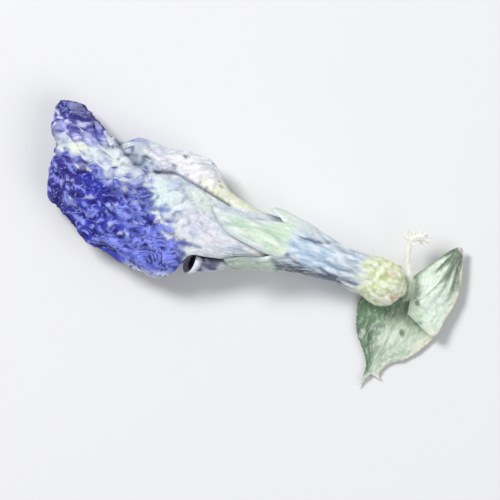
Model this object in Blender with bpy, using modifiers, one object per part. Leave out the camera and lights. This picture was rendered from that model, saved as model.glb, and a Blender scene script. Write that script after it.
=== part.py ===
# Dried butterfly pea flower, folded along its banner petal and lying on its side.
# Metres, +Z up, +X from the petal tip toward the stalk, origin under the middle of the flower.
import math

import bmesh
import bpy
import numpy as np
from mathutils import Vector, geometry, noise

MM = 0.001

# Driving dimensions, in millimetres
SHEET = 0.6
SHEATH_WALL = 0.34
FILAMENT_COUNT = 9
FILAMENT_RADIUS = 0.17
ANTHER_RADIUS = 0.26
ANTHER_LENGTH = 1.0

# Where the middle of the whole flower's box lies in the millimetres used below
BOX_MIDDLE = (-0.057, 0.009, 0.0)

# The limb's end is slanted and stepped, and its halves meet at sharper edges than the claw's
SLANT = 0.1
SLANT_HINGE = 6.5
TIP_STEP = 0.55
TIP_STEP_AT = 4.4
TIP_STEP_WIDTH = 0.5
SLANT_FROM = -16.0
SLANT_FULL = -22.5
PINCH = 0.4
PINCH_FROM = -4.0
PINCH_FULL = -9.0

# Every petal is a band of oval sections, one row each:
# x, y of the oval's two sides, z of its underside and top, and the angles that the sheet covers.
# Angle 0 is toward +Y, 90 is up, 180 is toward -Y.
BANNER = [
    (16.3, 1.6, 3.6, 2.6, 5.0, -38, 38),
    (13.5, 1.4, 3.62, 2.6, 5.2, -38, 38),
    (10.5, 1.4, 3.5, 2.5, 5.6, -40, 40),
    (8.0, 1.3, 3.75, 2.2, 5.8, -58, 58),
    (5.5, 0.9, 4.45, 1.75, 6.15, -100, 95),
    (3.0, -0.2, 4.45, 1.3, 6.4, -138, 140),
    (0.0, -1.2, 4.6, 1.3, 6.5, -138, 150),
    (-3.0, -3.0, 5.2, 1.2, 6.6, -135, 135),
    (-4.9, -4.6, 6.6, 0.8, 6.8, -138, 128),
    (-6.0, -5.3, 7.5, 0.5, 6.9, -140, 160),
    (-7.6, -5.7, 7.65, 0.25, 6.95, -142, 184),
    (-10.5, -5.7, 7.1, 0.15, 6.9, -142, 188),
    (-13.8, -5.1, 7.1, 0.15, 6.6, -142, 190),
    (-16.2, -4.4, 5.95, 0.15, 6.2, -144, 190),
    (-18.4, -3.6, 6.7, 0.2, 6.0, -146, 190),
    (-20.6, -2.6, 8.1, 0.45, 5.7, -150, 188),
    (-22.4, -2.0, 8.1, 0.8, 5.0, -154, 186),
    (-23.0, -0.8, 7.8, 1.3, 4.2, -158, 182),
    (-23.2, 1.4, 7.1, 1.9, 3.4, -162, 176),
]
WING_UPPER = [
    (13.0, 1.5, 3.1, 2.6, 5.2, 70, 110),
    (10.0, 1.4, 3.2, 2.7, 5.3, 66, 114),
    (7.0, 1.2, 3.6, 2.7, 5.12, 70, 110),
    (4.5, 0.3, 4.1, 2.3, 5.22, 66, 114),
    (2.0, -0.2, 3.9, 2.2, 5.45, 62, 122),
    (-1.0, -0.6, 4.0, 2.2, 5.6, 60, 128),
    (-4.0, -2.5, 4.9, 2.0, 5.75, 55, 120),
    (-6.5, -3.5, 5.8, 2.0, 5.9, 60, 115),
    (-8.5, -3.0, 5.0, 2.2, 5.8, 70, 105),
    (-9.3, -1.5, 3.5, 2.5, 5.6, 80, 98),
]
WING_LOWER = [
    (4.5, 0.35, 2.4, 2.7, 5.0, 152, 208),
    (2.0, -0.6, 1.4, 2.9, 4.9, 130, 230),
    (0.0, -1.7, 0.1, 3.1, 4.7, 105, 310),
    (-2.0, -3.0, -1.1, 2.9, 4.8, 92, 380),
    (-3.8, -3.7, -1.7, 2.9, 4.9, 90, 392),
    (-5.2, -4.0, -2.0, 3.0, 5.1, 95, 395),
]
KEEL = [
    (10.0, 1.5, 2.9, 2.75, 5.2, 250, 290),
    (7.0, 1.5, 3.3, 2.7, 5.1, 246, 294),
    (4.5, 1.4, 4.2, 2.6, 5.0, 220, 280),
    (2.5, 1.3, 4.6, 2.32, 4.62, 110, 268),
    (0.0, 0.9, 4.6, 2.25, 4.65, 92, 268),
    (-3.0, 0.0, 4.2, 2.15, 4.75, 85, 274),
    (-6.0, -0.6, 3.6, 2.1, 4.8, 80, 278),
    (-8.0, -0.6, 2.9, 2.3, 4.6, 85, 275),
    (-9.2, 0.0, 2.0, 2.9, 4.1, 110, 250),
]

# The calyx from its swollen base to the mouth of its tube, and on as the lobes' bed
CALYX = [
    (17.7, 1.7, 3.4, 2.8, 4.6),
    (16.9, 0.5, 4.4, 1.7, 5.6),
    (15.4, 0.1, 4.7, 1.4, 5.9),
    (14.0, 0.5, 4.6, 1.6, 5.9),
    (12.2, 0.6, 4.35, 1.75, 6.1),
    (10.5, 0.7, 4.4, 1.65, 6.3),
    (8.3, 0.4, 4.65, 1.3, 6.65),
    (5.6, -0.05, 5.4, 0.85, 7.05),
    (3.6, -0.85, 5.5, 0.4, 7.3),
    (0.0, -2.2, 5.5, 0.4, 7.4),
    (-3.0, -3.9, 6.1, 0.3, 7.5),
    (-6.0, -6.2, 8.4, 0.3, 7.8),
]
CALYX_POLE = (18.0, 2.55, 3.7)
CALYX_MOUTH = 3.6

# Each lobe: the angle of its middle, its length, and how far its tip leans round the flower
LOBES = [(10, 2.0, 0), (82, 7.9, -14), (154, 4.8, -20), (226, 5.6, 8), (298, 6.6, 12)]
LOBE_COLUMNS = 6
LOBE_TAPER = 0.8
LOBE_STEPS = (0.16, 0.36, 0.58, 0.8)

# Bracteoles: left margin, midrib and right margin at each step from base to tip
BRACTEOLE_LOWER = [
    ((17.7, 1.6, 1.35), (18.5, 1.6, 1.75), (19.3, 1.4, 1.6)),
    ((14.3, 0.2, 0.4), (18.3, -0.4, 1.1), (22.8, -0.6, 0.6)),
    ((14.5, -2.2, 0.5), (18.3, -2.5, 1.5), (22.2, -2.7, 0.5)),
    ((15.3, -3.9, 0.45), (18.2, -4.3, 1.4), (20.9, -4.5, 0.4)),
    ((16.7, -5.5, 0.4), (18.0, -5.8, 1.0), (19.5, -5.5, 0.35)),
    ((17.4, -6.9, 0.4), (18.0, -6.8, 0.7), (18.9, -6.9, 0.35)),
    ((17.3, -9.1, 0.35), (18.1, -7.3, 0.5), (19.3, -7.5, 0.35)),
]
BRACTEOLE_UPPER = [
    ((18.35, 3.75, 2.7), (19.0, 2.3, 2.6), (19.4, 0.2, 2.2)),
    ((18.8, 4.6, 2.75), (20.1, 2.2, 2.8), (22.8, -1.0, 1.9)),
    ((19.4, 5.5, 2.5), (20.9, 3.7, 2.8), (23.4, 1.2, 1.6)),
    ((20.3, 6.8, 2.2), (21.6, 5.4, 2.5), (23.8, 3.8, 1.4)),
    ((21.1, 8.0, 1.8), (22.0, 7.0, 2.0), (23.4, 6.2, 1.3)),
    ((21.7, 8.7, 1.5), (22.3, 8.1, 1.6), (22.9, 7.8, 1.3)),
    ((22.0, 9.0, 1.35), (22.3, 9.0, 1.4), (22.6, 8.8, 1.35)),
]
BRACTEOLE_STEPS = 21
BRACTEOLE_TOOTH = 0.14

# The stamens' sheath runs down the middle of the flower, open on the side of the tenth stamen
COLUMN_PATH = [
    (16.9, 2.45, 3.75),
    (13.5, 2.3, 3.85),
    (10.5, 2.15, 3.95),
    (8.0, 2.2, 3.95),
    (5.5, 2.6, 3.8),
    (3.0, 2.9, 3.5),
    (0.0, 2.7, 3.4),
    (-1.5, 2.5, 3.4),
]
SHEATH_RADIUS = 0.53
SHEATH_ANGLES = (40, 320)
FILAMENT_ROOT = 0.6
FILAMENT_REACH = (1.6, 2.7, 3.8)
FILAMENT_DROOP = 0.3
FILAMENT_SPREAD = Vector((0.0, 0.3, 0.08))

STYLE_PATH = COLUMN_PATH[:-1] + [(-3.0, 2.0, 3.4), (-5.0, 1.45, 3.4), (-6.6, 1.2, 3.55)]
STYLE_RADII = [0.18, 0.26, 0.26, 0.2, 0.18, 0.18, 0.18, 0.18, 0.18, 0.28]

FREE_STAMEN_SHIFT = 0.62
FREE_STAMEN_PATH = [(x, y + FREE_STAMEN_SHIFT, z) for x, y, z in COLUMN_PATH]
FREE_STAMEN_PATH += [(-3.0, 2.75, 3.4), (-4.2, 2.45, 3.4)]
FREE_STAMEN_RADII = [0.14] * (len(FREE_STAMEN_PATH) - 1) + [0.26]

PEDICEL_PATH = [
    (19.05, 2.5, 3.75),
    (18.8, 3.3, 3.85),
    (18.15, 4.2, 4.0),
    (17.5, 5.3, 4.2),
    (17.0, 6.5, 4.35),
    (16.75, 7.6, 4.5),
    (17.2, 8.3, 4.6),
    (18.1, 8.5, 4.6),
]
PEDICEL_RADII = [0.6, 0.5, 0.4, 0.36, 0.36, 0.4, 0.46, 0.5]

# Relief that the banner dried into: broad crumples, pleats that run along it, creases and ridges.
# Each line is a path of x and y, a height and a width.
CRUMPLE_DEPTH = 0.3
CRUMPLE_WIDTH = 2.6
PLEAT_DEPTH = 0.13
PLEATS_ROUND = 17
PLEAT_DRIFT = 0.6
RELIEF_FROM = -4.5
RELIEF_FULL = -9.0
LINES = [
    ([(-13.6, 4.4), (-11.3, 4.6), (-9.2, 5.1), (-6.5, 4.8), (-4.6, 4.4)], -0.42, 0.5),
    ([(-12.0, 6.4), (-9.0, 6.5), (-6.5, 6.2), (-5.2, 5.6)], 0.25, 0.8),
    ([(-22.6, 4.3), (-18.0, 4.4), (-13.5, 3.4)], 0.22, 1.0),
    ([(-22.8, 6.3), (-19.5, 5.9), (-16.8, 5.4)], -0.3, 0.5),
    ([(-21.0, 0.2), (-16.5, 0.6), (-12.5, 0.0)], -0.22, 0.7),
    ([(-18.0, -2.2), (-13.0, -3.4), (-9.5, -3.6)], -0.2, 0.6),
]
MARGIN_WAVE = 5
UNDER_WAVELENGTH = 3.0
OVER_WAVELENGTH = 3.7

# The petal's underside lies flat on the surface round one spot, and its relief fades in above it
FLOOR = SHEET / 2
REST_SPOT = Vector((-12.0, 0.9))
REST_RADIUS = 2.4
REST_FADE = 2.0
UNDERSIDE_TOP = 1.0
RELIEF_HEIGHT = 3.0


def smooth(rows, count):
    """Rows resampled on smooth curves that pass through the given ones."""
    table = np.array(rows, dtype=float)
    slopes = np.gradient(table, axis=0)
    at = np.linspace(0, len(table) - 1, count)
    index = np.minimum(at.astype(int), len(table) - 2)
    t = (at - index).reshape(-1, *[1] * (table.ndim - 1))
    start, end = table[index], table[index + 1]
    out, into = slopes[index], slopes[index + 1]
    return (
        start * (2 * t**3 - 3 * t**2 + 1)
        + out * (t**3 - 2 * t**2 + t)
        + end * (3 * t**2 - 2 * t**3)
        + into * (t**3 - t**2)
    )


def ramp(value, start, full):
    """How far a value has come from start to full, from 0 to 1."""
    return min(max((value - start) / (full - start), 0.0), 1.0)


def on_oval(row, angle):
    """The point at an angle on the oval section of a row."""
    x, y_open, y_fold, z_under, z_over = row[:5]
    turn = math.radians(angle)
    lift = math.sin(turn)
    lift *= abs(lift) ** (PINCH * ramp(x, PINCH_FROM, PINCH_FULL))
    y = (y_open + y_fold) / 2 + (y_fold - y_open) / 2 * math.cos(turn)
    z = (z_under + z_over) / 2 + (z_over - z_under) / 2 * lift
    slant = SLANT * (SLANT_HINGE - y) - TIP_STEP * math.tanh((y - TIP_STEP_AT) / TIP_STEP_WIDTH)
    return Vector((x + slant * ramp(x, SLANT_FROM, SLANT_FULL), y, z))


def band(rows, along, across):
    """A grid of points over a band of oval sections."""
    return [
        [on_oval(row, angle) for angle in np.linspace(row[5], row[6], across)]
        for row in smooth(rows, along)
    ]


def distance_to_path(point, path):
    """How far a point lies from a path of x and y, seen from above."""
    distances = []
    for start, end in zip(map(Vector, path), map(Vector, path[1:])):
        share = geometry.intersect_point_line(point.xy, start, end)[1]
        nearest = start.lerp(end, min(max(share, 0.0), 1.0))
        distances.append((point.xy - nearest).length)
    return min(distances)


def line_height(point):
    """The height at a point of the creases and ridges on the petal's upper half."""
    return sum(
        rise * math.exp(-((distance_to_path(point, path) / width) ** 2))
        for path, rise, width in LINES
    )


def banner_grid(along, across):
    """The banner petal with its waved margins and dried relief, flat where it rests."""
    grid = []
    for row in smooth(BANNER, along):
        x, y_open, y_fold, z_under, z_over, under_edge, over_edge = row
        part = ramp(x, RELIEF_FROM, RELIEF_FULL)
        under_edge += MARGIN_WAVE * part * math.sin(math.tau * x / UNDER_WAVELENGTH)
        over_edge += MARGIN_WAVE * part * math.sin(math.tau * x / OVER_WAVELENGTH + 1.0)
        line = []
        for angle in np.linspace(under_edge, over_edge, across):
            point = on_oval(row, angle)
            turn = math.radians(angle)
            out = Vector((0.0, math.cos(turn) / (y_fold - y_open), math.sin(turn) / (z_over - z_under)))
            drift = PLEAT_DRIFT * noise.noise(Vector((x / 5.0, turn, 2.0)))
            push = CRUMPLE_DEPTH * noise.noise(point / CRUMPLE_WIDTH)
            push += PLEAT_DEPTH * math.sin(PLEATS_ROUND * (turn + drift))
            if angle > 0:
                push += line_height(point)
            raised = ramp(point.z, UNDERSIDE_TOP, RELIEF_HEIGHT)
            away = (point.xy - REST_SPOT).length
            dent = ramp(away, REST_RADIUS, REST_RADIUS + REST_FADE)
            push = push * raised + min(2 * push, 0.0) * dent * (1.0 - raised)
            point += out.normalized() * push * part
            point.z = max(point.z, FLOOR)
            line.append(point)
        grid.append(line)
    return grid


def placed(point):
    """A point of the design in metres, measured from the middle of the flower's box."""
    return (Vector(point) - Vector(BOX_MIDDLE)) * MM


def link(name, data, material):
    data.materials.append(material)
    obj = bpy.data.objects.new(name, data)
    flower.objects.link(obj)
    obj.parent = stand
    return obj


def add_sheet(name, points, faces, material, thickness=SHEET):
    """An open surface with its thickness, both of its faces split into triangles alike."""
    mesh = bpy.data.meshes.new(name)
    mesh.from_pydata([placed(point) for point in points], [], faces)
    mesh.shade_smooth()
    obj = link(name, mesh, material)
    obj.modifiers.new("Split", "TRIANGULATE")
    shell = obj.modifiers.new("Thickness", "SOLIDIFY")
    shell.thickness = thickness * MM
    shell.offset = 0.0
    return obj


def add_blade(name, grid, material, thickness=SHEET):
    """A petal or leaf from a grid of points along and across it."""
    across = len(grid[0])
    points = [point for line in grid for point in line]
    faces = [
        (row * across + i, row * across + i + 1, (row + 1) * across + i + 1, (row + 1) * across + i)
        for row in range(len(grid) - 1)
        for i in range(across - 1)
    ]
    return add_sheet(name, points, faces, material, thickness)


def calyx_bed(x):
    """The oval that the calyx lobes lie on at a place along the flower."""
    table = np.array(CALYX)[::-1]
    return (x, *(np.interp(x, table[:, 0], table[:, c]) for c in range(1, 5)))


def add_calyx(material):
    """The swollen base, the tube and the five lobes, as one sheet."""
    around = len(LOBES) * LOBE_COLUMNS
    half_lobe = 180 / len(LOBES)
    tube = [row for row in CALYX if row[0] >= CALYX_MOUTH]
    rings = smooth(tube, 2 * len(tube) - 1)
    angles = [LOBES[0][0] - half_lobe + 360 * i / around for i in range(around)]
    points = [Vector(CALYX_POLE)]
    points += [on_oval(ring, angle) for ring in rings for angle in angles]

    def on_ring(ring, column):
        return 1 + ring * around + column % around

    faces = [(0, on_ring(0, i + 1), on_ring(0, i)) for i in range(around)]
    faces += [
        (on_ring(ring, i), on_ring(ring, i + 1), on_ring(ring + 1, i + 1), on_ring(ring + 1, i))
        for ring in range(len(rings) - 1)
        for i in range(around)
    ]
    for lobe, (middle, length, lean) in enumerate(LOBES):
        edge = [on_ring(len(rings) - 1, lobe * LOBE_COLUMNS + i) for i in range(LOBE_COLUMNS + 1)]
        for share in LOBE_STEPS:
            bed = calyx_bed(CALYX_MOUTH - length * share)
            half = half_lobe * (1 - share) ** LOBE_TAPER
            line = list(range(len(points), len(points) + LOBE_COLUMNS + 1))
            for i in range(LOBE_COLUMNS + 1):
                angle = middle + lean * share**2 + half * (2 * i / LOBE_COLUMNS - 1)
                points.append(on_oval(bed, angle))
            faces += [(edge[i], edge[i + 1], line[i + 1], line[i]) for i in range(LOBE_COLUMNS)]
            edge = line
        points.append(on_oval(calyx_bed(CALYX_MOUTH - length), middle + lean))
        faces += [(edge[i], edge[i + 1], len(points) - 1) for i in range(LOBE_COLUMNS)]
    return add_sheet("calyx", points, faces, material)


def add_bracteole(name, steps, material):
    """A leaf-like bracteole whose toothed margins and midrib run through the given points."""
    grid = []
    for step, (left, rib, right) in enumerate(smooth(steps, BRACTEOLE_STEPS)):
        tooth = BRACTEOLE_TOOTH * (step % 2) * math.sin(math.pi * step / (BRACTEOLE_STEPS - 1))
        outward = (right - left) / np.linalg.norm(right - left) * tooth
        left, right = left - outward, right + outward
        line = [left + (rib - left) * share for share in (0, 0.35, 0.7)]
        line += [right + (rib - right) * share for share in (1, 0.7, 0.35, 0)]
        grid.append(line)
    return add_blade(name, grid, material)


def add_stalk(name, path, radii, material):
    """A round stalk along a smooth path, with a radius for each of the path's points."""
    rows = smooth([(*point, radius) for point, radius in zip(path, radii)], 2 * len(path) - 1)
    curve = bpy.data.curves.new(name, "CURVE")
    curve.dimensions = "3D"
    curve.bevel_depth = MM
    curve.bevel_resolution = 2
    curve.use_fill_caps = True
    spline = curve.splines.new("POLY")
    spline.points.add(len(rows) - 1)
    for point, (x, y, z, radius) in zip(spline.points, rows):
        point.co = (*placed((x, y, z)), 1.0)
        point.radius = radius
    return link(name, curve, material)


def add_to_join(shape, start, end, bits):
    """Lays a shape made along Z between two points of the design, for a later union."""
    turn = (end - start).to_track_quat("Z", "Y").to_matrix()
    bmesh.ops.rotate(shape, verts=shape.verts, matrix=turn)
    bmesh.ops.scale(shape, vec=(MM, MM, MM), verts=shape.verts)
    bmesh.ops.translate(shape, verts=shape.verts, vec=placed((start + end) / 2))
    mesh = bpy.data.meshes.new("bit")
    shape.to_mesh(mesh)
    shape.free()
    obj = bpy.data.objects.new("bit", mesh)
    obj.hide_render = True
    obj.display_type = "WIRE"
    bits.objects.link(obj)


def add_filament(index, bits):
    """One free end of a fused filament, with its anther."""
    first, last = SHEATH_ANGLES
    angle = math.radians(first + (index + 0.5) / FILAMENT_COUNT * (last - first))
    out = Vector((0.0, math.cos(angle), math.sin(angle)))
    reach = FILAMENT_REACH[index % len(FILAMENT_REACH)]
    mouth = Vector(COLUMN_PATH[-1]) + out * SHEATH_RADIUS
    start = mouth + Vector((FILAMENT_ROOT, 0.0, 0.0))
    end = mouth + Vector((-reach, -reach * FILAMENT_DROOP, 0.0)) + out * FILAMENT_SPREAD
    thread = bmesh.new()
    bmesh.ops.create_cone(
        thread,
        cap_ends=True,
        segments=5,
        radius1=FILAMENT_RADIUS,
        radius2=FILAMENT_RADIUS,
        depth=(end - start).length,
    )
    add_to_join(thread, start, end, bits)
    anther = bmesh.new()
    bmesh.ops.create_uvsphere(anther, u_segments=6, v_segments=4, radius=ANTHER_RADIUS)
    bmesh.ops.scale(anther, vec=(1, 1, ANTHER_LENGTH / ANTHER_RADIUS / 2), verts=anther.verts)
    along = (end - start).normalized() * ANTHER_LENGTH / 2
    add_to_join(anther, end - along, end + along, bits)


def add_column(material):
    """The split sheath of fused filaments, with its free ends and anthers joined on."""
    r = SHEATH_RADIUS
    rows = [(x, y - r, y + r, z - r, z + r, *SHEATH_ANGLES) for x, y, z in COLUMN_PATH]
    column = add_blade("staminal_column", band(rows, 13, 9), material, SHEATH_WALL)
    bits = bpy.data.collections.new("filaments_to_join")
    bpy.context.scene.collection.children.link(bits)
    for index in range(FILAMENT_COUNT):
        add_filament(index, bits)
    join = column.modifiers.new("Filaments", "BOOLEAN")
    join.operation = "UNION"
    join.operand_type = "COLLECTION"
    join.collection = bits
    join.solver = "EXACT"
    bpy.context.view_layer.update()
    graph = bpy.context.evaluated_depsgraph_get()
    joined = bpy.data.meshes.new_from_object(column.evaluated_get(graph))
    column.modifiers.clear()
    column.data = joined
    for obj in list(bits.objects):
        bpy.data.objects.remove(obj)
    bpy.data.collections.remove(bits)
    return column


def finish(name, colour, roughness):
    material = bpy.data.materials.new(name)
    material.use_nodes = True
    shader = material.node_tree.nodes["Principled BSDF"]
    shader.inputs["Base Color"].default_value = (*colour, 1.0)
    shader.inputs["Roughness"].default_value = roughness
    shader.inputs["Metallic"].default_value = 0.0
    return material


for old in list(bpy.data.objects):
    bpy.data.objects.remove(old)

flower = bpy.data.collections.new("butterfly_pea_flower")
bpy.context.scene.collection.children.link(flower)
stand = bpy.data.objects.new("flower_frame", None)
flower.objects.link(stand)

add_blade("banner_petal", banner_grid(47, 32), finish("banner_blue", (0.09, 0.10, 0.45), 0.75))
add_blade("wing_petal_upper", band(WING_UPPER, 22, 7), finish("wing_lilac", (0.55, 0.53, 0.72), 0.75))
add_blade("wing_petal_lower", band(WING_LOWER, 17, 13), finish("wing_grey", (0.60, 0.58, 0.68), 0.75))
add_blade("keel_petals", band(KEEL, 19, 11), finish("keel_cream", (0.78, 0.76, 0.66), 0.75))
add_calyx(finish("calyx_mint", (0.60, 0.70, 0.66), 0.7))
add_bracteole("bracteole_upper", BRACTEOLE_UPPER, finish("bracteole_mint", (0.48, 0.62, 0.50), 0.75))
add_bracteole("bracteole_lower", BRACTEOLE_LOWER, finish("bracteole_green", (0.30, 0.44, 0.30), 0.75))
add_column(finish("column_straw", (0.75, 0.66, 0.42), 0.75))
add_stalk("free_stamen", FREE_STAMEN_PATH, FREE_STAMEN_RADII, finish("stamen_straw", (0.74, 0.70, 0.5), 0.75))
add_stalk("pistil", STYLE_PATH, STYLE_RADII, finish("style_green", (0.60, 0.64, 0.40), 0.75))
add_stalk("pedicel", PEDICEL_PATH, PEDICEL_RADII, finish("pedicel_cream", (0.74, 0.74, 0.64), 0.75))
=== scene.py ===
# Looks of a dried butterfly pea flower: thin crinkled petals, papery calyx, veined bracteoles
import math
import bpy
import numpy as np
from mathutils import Matrix, Vector, noise


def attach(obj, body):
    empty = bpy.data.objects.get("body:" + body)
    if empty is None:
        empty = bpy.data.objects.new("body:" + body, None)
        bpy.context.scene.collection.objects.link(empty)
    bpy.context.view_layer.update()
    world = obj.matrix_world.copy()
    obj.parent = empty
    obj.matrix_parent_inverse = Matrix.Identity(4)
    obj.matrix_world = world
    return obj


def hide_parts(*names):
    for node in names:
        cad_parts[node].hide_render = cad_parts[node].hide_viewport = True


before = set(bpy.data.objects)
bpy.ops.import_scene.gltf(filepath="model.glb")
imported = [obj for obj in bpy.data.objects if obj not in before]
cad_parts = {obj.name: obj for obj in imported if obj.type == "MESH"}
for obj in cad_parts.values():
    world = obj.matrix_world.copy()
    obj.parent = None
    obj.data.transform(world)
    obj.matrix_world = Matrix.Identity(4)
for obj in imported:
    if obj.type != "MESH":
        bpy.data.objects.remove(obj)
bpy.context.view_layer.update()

# Shapes are laid out in the part's own millimetres, whose zero is a hair off the frame's origin
mm = 0.001
boxMiddle = np.array([-0.057, 0.009, 0])

# Seen from above, the photo's right and up lie turned from the part's X and Y by this angle
photoTurn = math.radians(21.3)

# The CAD node that each piece takes the place of, and its slot
places = {
    "bannerPetal": ("banner_petal", "banner_blue"),
    "wingPetalUpper": ("wing_petal_upper", "wing_lilac"),
    "wingPetalLower": ("wing_petal_lower", "wing_grey"),
    "keelPetals": ("keel_petals", "keel_cream"),
    "calyxTube": ("calyx", "calyx_mint"),
    "calyxHairs": ("calyx", "calyx_mint"),
    "bracteoleLower": ("bracteole_lower", "bracteole_green"),
    "bracteoleLowerHairs": ("bracteole_lower", "bracteole_green"),
    "bracteoleUpper": ("bracteole_upper", "bracteole_mint"),
    "bracteoleUpperHairs": ("bracteole_upper", "bracteole_mint"),
    "staminalSheath": ("staminal_column", "column_straw"),
    "filamentsAndAnthers": ("staminal_column", "column_straw"),
    "freeStamen": ("free_stamen", "stamen_straw"),
    "pistilStyle": ("pistil", "style_green"),
    "pedicelStalk": ("pedicel", "pedicel_cream"),
    "tornFibres": ("pedicel", "pedicel_cream"),
    "pedicelHairs": ("pedicel", "pedicel_cream"),
}
# Values on a mesh are plain numbers, apart from these
layerKinds = {"tint": ("FLOAT_COLOR", "color"), "flow": ("FLOAT_VECTOR", "vector")}


# Small tools that every piece uses
def smoothRows(rows, count, pace=((0, 1), (0, 1))):
    # pace sets which share of the new rows falls to which share of the table
    table = np.array(rows, dtype=float)
    slopes = np.gradient(table, axis=0)
    at = np.interp(np.linspace(0, 1, count), *pace) * (len(table) - 1)
    index = np.minimum(at.astype(int), len(table) - 2)
    t = (at - index).reshape(-1, *[1] * (table.ndim - 1))
    return (
        table[index] * (2 * t**3 - 3 * t**2 + 1)
        + slopes[index] * (t**3 - 2 * t**2 + t)
        + table[index + 1] * (3 * t**2 - 2 * t**3)
        + slopes[index + 1] * (t**3 - t**2)
    )


def ramp(value, start, full):
    return np.clip((value - start) / (full - start), 0, 1)


def fade(value, start, full):
    t = ramp(value, start, full)
    return t * t * (3 - 2 * t)


def stack(*fields):
    # fields of any matching shapes side by side, such as the x, y and z of points
    return np.stack(np.broadcast_arrays(*fields), -1)


def noiseAt(points, size, shift=0):
    # size is one wavelength in mm, or three of them for a grain that runs one way
    flat = (points / np.array(size) + shift).reshape(-1, 3)
    values = np.array([noise.noise(Vector(p)) for p in flat])
    return values.reshape(points.shape[:-1])


def creases(points, size, shift):
    # 1 along thin wandering lines, and falling off between them
    return 1 - np.abs(noiseAt(points, size, shift)) / 0.33


def warped(points, size, amount):
    drift = [noiseAt(points, size, shift) for shift in (11, 23, 37)]
    return points + amount * stack(*drift)


def nearPath(points, path, width):
    # 1 on a path of x and y, and fading out over its width
    best = np.full(points.shape[:-1], 1e9)
    flat = points[..., :2]
    for start, end in zip(np.array(path[:-1], float), np.array(path[1:], float)):
        run = end - start
        share = np.clip(((flat - start) @ run) / (run @ run), 0, 1)
        best = np.minimum(best, np.linalg.norm(flat - (start + share[..., None] * run), axis=-1))
    return np.exp(-((best / width) ** 2))


def patch(points, middle, size, turn, soft, wobble):
    # how much a point lies in a turned oval patch, from 0 to 1, with an uneven edge
    c, s = math.cos(math.radians(turn)), math.sin(math.radians(turn))
    dx, dy = points[..., 0] - middle[0], points[..., 1] - middle[1]
    reach = np.hypot((c * dx + s * dy) / size[0], (c * dy - s * dx) / size[1])
    return 1 - fade(reach + wobble, 1 - soft, 1 + soft)


def linear(colour):
    value = np.array([*bytes.fromhex(colour)]) / 255
    return np.where(value <= 0.04045, value / 12.92, ((value + 0.055) / 1.055) ** 2.4)


def lay(tint, *coats):
    # coats of colour in turn, each with how much of it covers what is there
    for colour, amount in coats:
        amount = np.clip(amount, 0, 1)[..., None]
        tint = tint * (1 - amount) + linear(colour) * amount
    return tint


def patchCoats(points, wobble, table, share=1):
    # table rows: a colour, its strength, and the oval's middle, size, turn, softness and unevenness
    return [
        (colour, share * patch(points, middle, size, turn, soft, wobble * uneven) * strength)
        for colour, strength, middle, size, turn, soft, uneven in table
    ]


def gridNormals(points):
    normals = np.cross(np.gradient(points, axis=0), np.gradient(points, axis=1))
    return normals / np.maximum(np.linalg.norm(normals, axis=-1, keepdims=True), 1e-9)


def gridFaces(grid):
    # four-sided faces between the neighbours in a grid of point numbers
    a, b = grid[:-1], grid[1:]
    return np.stack([a[:, :-1], b[:, :-1], b[:, 1:], a[:, 1:]], -1).reshape(-1, 4).tolist()


def edgeShare(points, reach):
    # 0 on the margin of a grid and 1 once well inside it
    r, c = (np.minimum(np.arange(n), np.arange(n)[::-1]) / reach for n in points.shape[:2])
    return fade(np.minimum(r[:, None], c), 0, 1)


def addToScene(name, data):
    thing = bpy.data.objects.new(name, data)
    bpy.context.scene.collection.objects.link(thing)
    return thing


def settle(name, mesh):
    # the piece takes the place of its CAD node
    piece = addToScene(name, mesh)
    node, slot = places[name]
    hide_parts(node)
    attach(piece, "root")
    print("made", name, "for", node)
    return piece


def shellPiece(name, outer, inner, material, layers, innerLayers, faces=None, flip=False):
    # a thin wall: the outer side, the inner side turned round, and the rim that joins them
    count = outer.size // 3
    faces = faces or gridFaces(np.arange(count).reshape(outer.shape[:2]))
    faces = [face[::-1] for face in faces] if flip else faces
    edges = {(a, b) for face in faces for a, b in zip(face, face[1:] + face[:1])}
    rim = [(b, a, a + count, b + count) for a, b in edges if (b, a) not in edges]
    back = [[i + count for i in reversed(face)] for face in faces]
    spots = (np.vstack([outer.reshape(-1, 3), inner.reshape(-1, 3)]) - boxMiddle) * mm
    mesh = bpy.data.meshes.new(name)
    mesh.from_pydata(spots.tolist(), [], faces + back + sorted(rim))
    for key, values in layers.items():
        shape = (outer if key in layerKinds else outer[..., 0]).shape
        sides = [np.broadcast_to(side, shape) for side in (values, innerLayers.get(key, values))]
        values = np.vstack([side.reshape(count, -1) for side in sides])
        if key == "tint":
            values = np.hstack([values, np.ones((2 * count, 1))])
        kind, field = layerKinds.get(key, ("FLOAT", "value"))
        held = mesh.attributes.new(key, kind, "POINT")
        held.data.foreach_set(field, values.astype(np.float32).ravel())
    mesh.materials.append(material)
    mesh.shade_smooth()
    return settle(name, mesh)


# Node trees: a socket takes a value or another node's output
def feed(tree, socket, value):
    if isinstance(value, bpy.types.NodeSocket):
        tree.links.new(value, socket)
    else:
        socket.default_value = value


def addNode(tree, kind, **values):
    # settings and inputs by name, where an underscore stands for an input's space
    node = tree.nodes.new(kind)
    for key, value in values.items():
        label = key.replace("_", " ")
        if label in node.inputs:
            feed(tree, node.inputs[label], value)
        else:
            setattr(node, key, value)
    return node


def calc(tree, operation, *values, kind="ShaderNodeMath"):
    node = addNode(tree, kind, operation=operation)
    for socket, value in zip(node.inputs, values):
        feed(tree, socket, value)
    return node.outputs[0]


def product(tree, first, *others):
    for other in others:
        first = calc(tree, "MULTIPLY", first, other)
    return first


def newMaterial(name, roughness, sheen=0):
    material = bpy.data.materials.new(name)
    material.use_nodes = True
    shader = material.node_tree.nodes["Principled BSDF"]
    shader.inputs["Roughness"].default_value = roughness
    shader.inputs["Sheen Weight"].default_value = sheen
    shader.inputs["Sheen Roughness"].default_value = 0.5
    shader.inputs["Specular IOR Level"].default_value = 0.3
    return material, material.node_tree, shader


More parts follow.
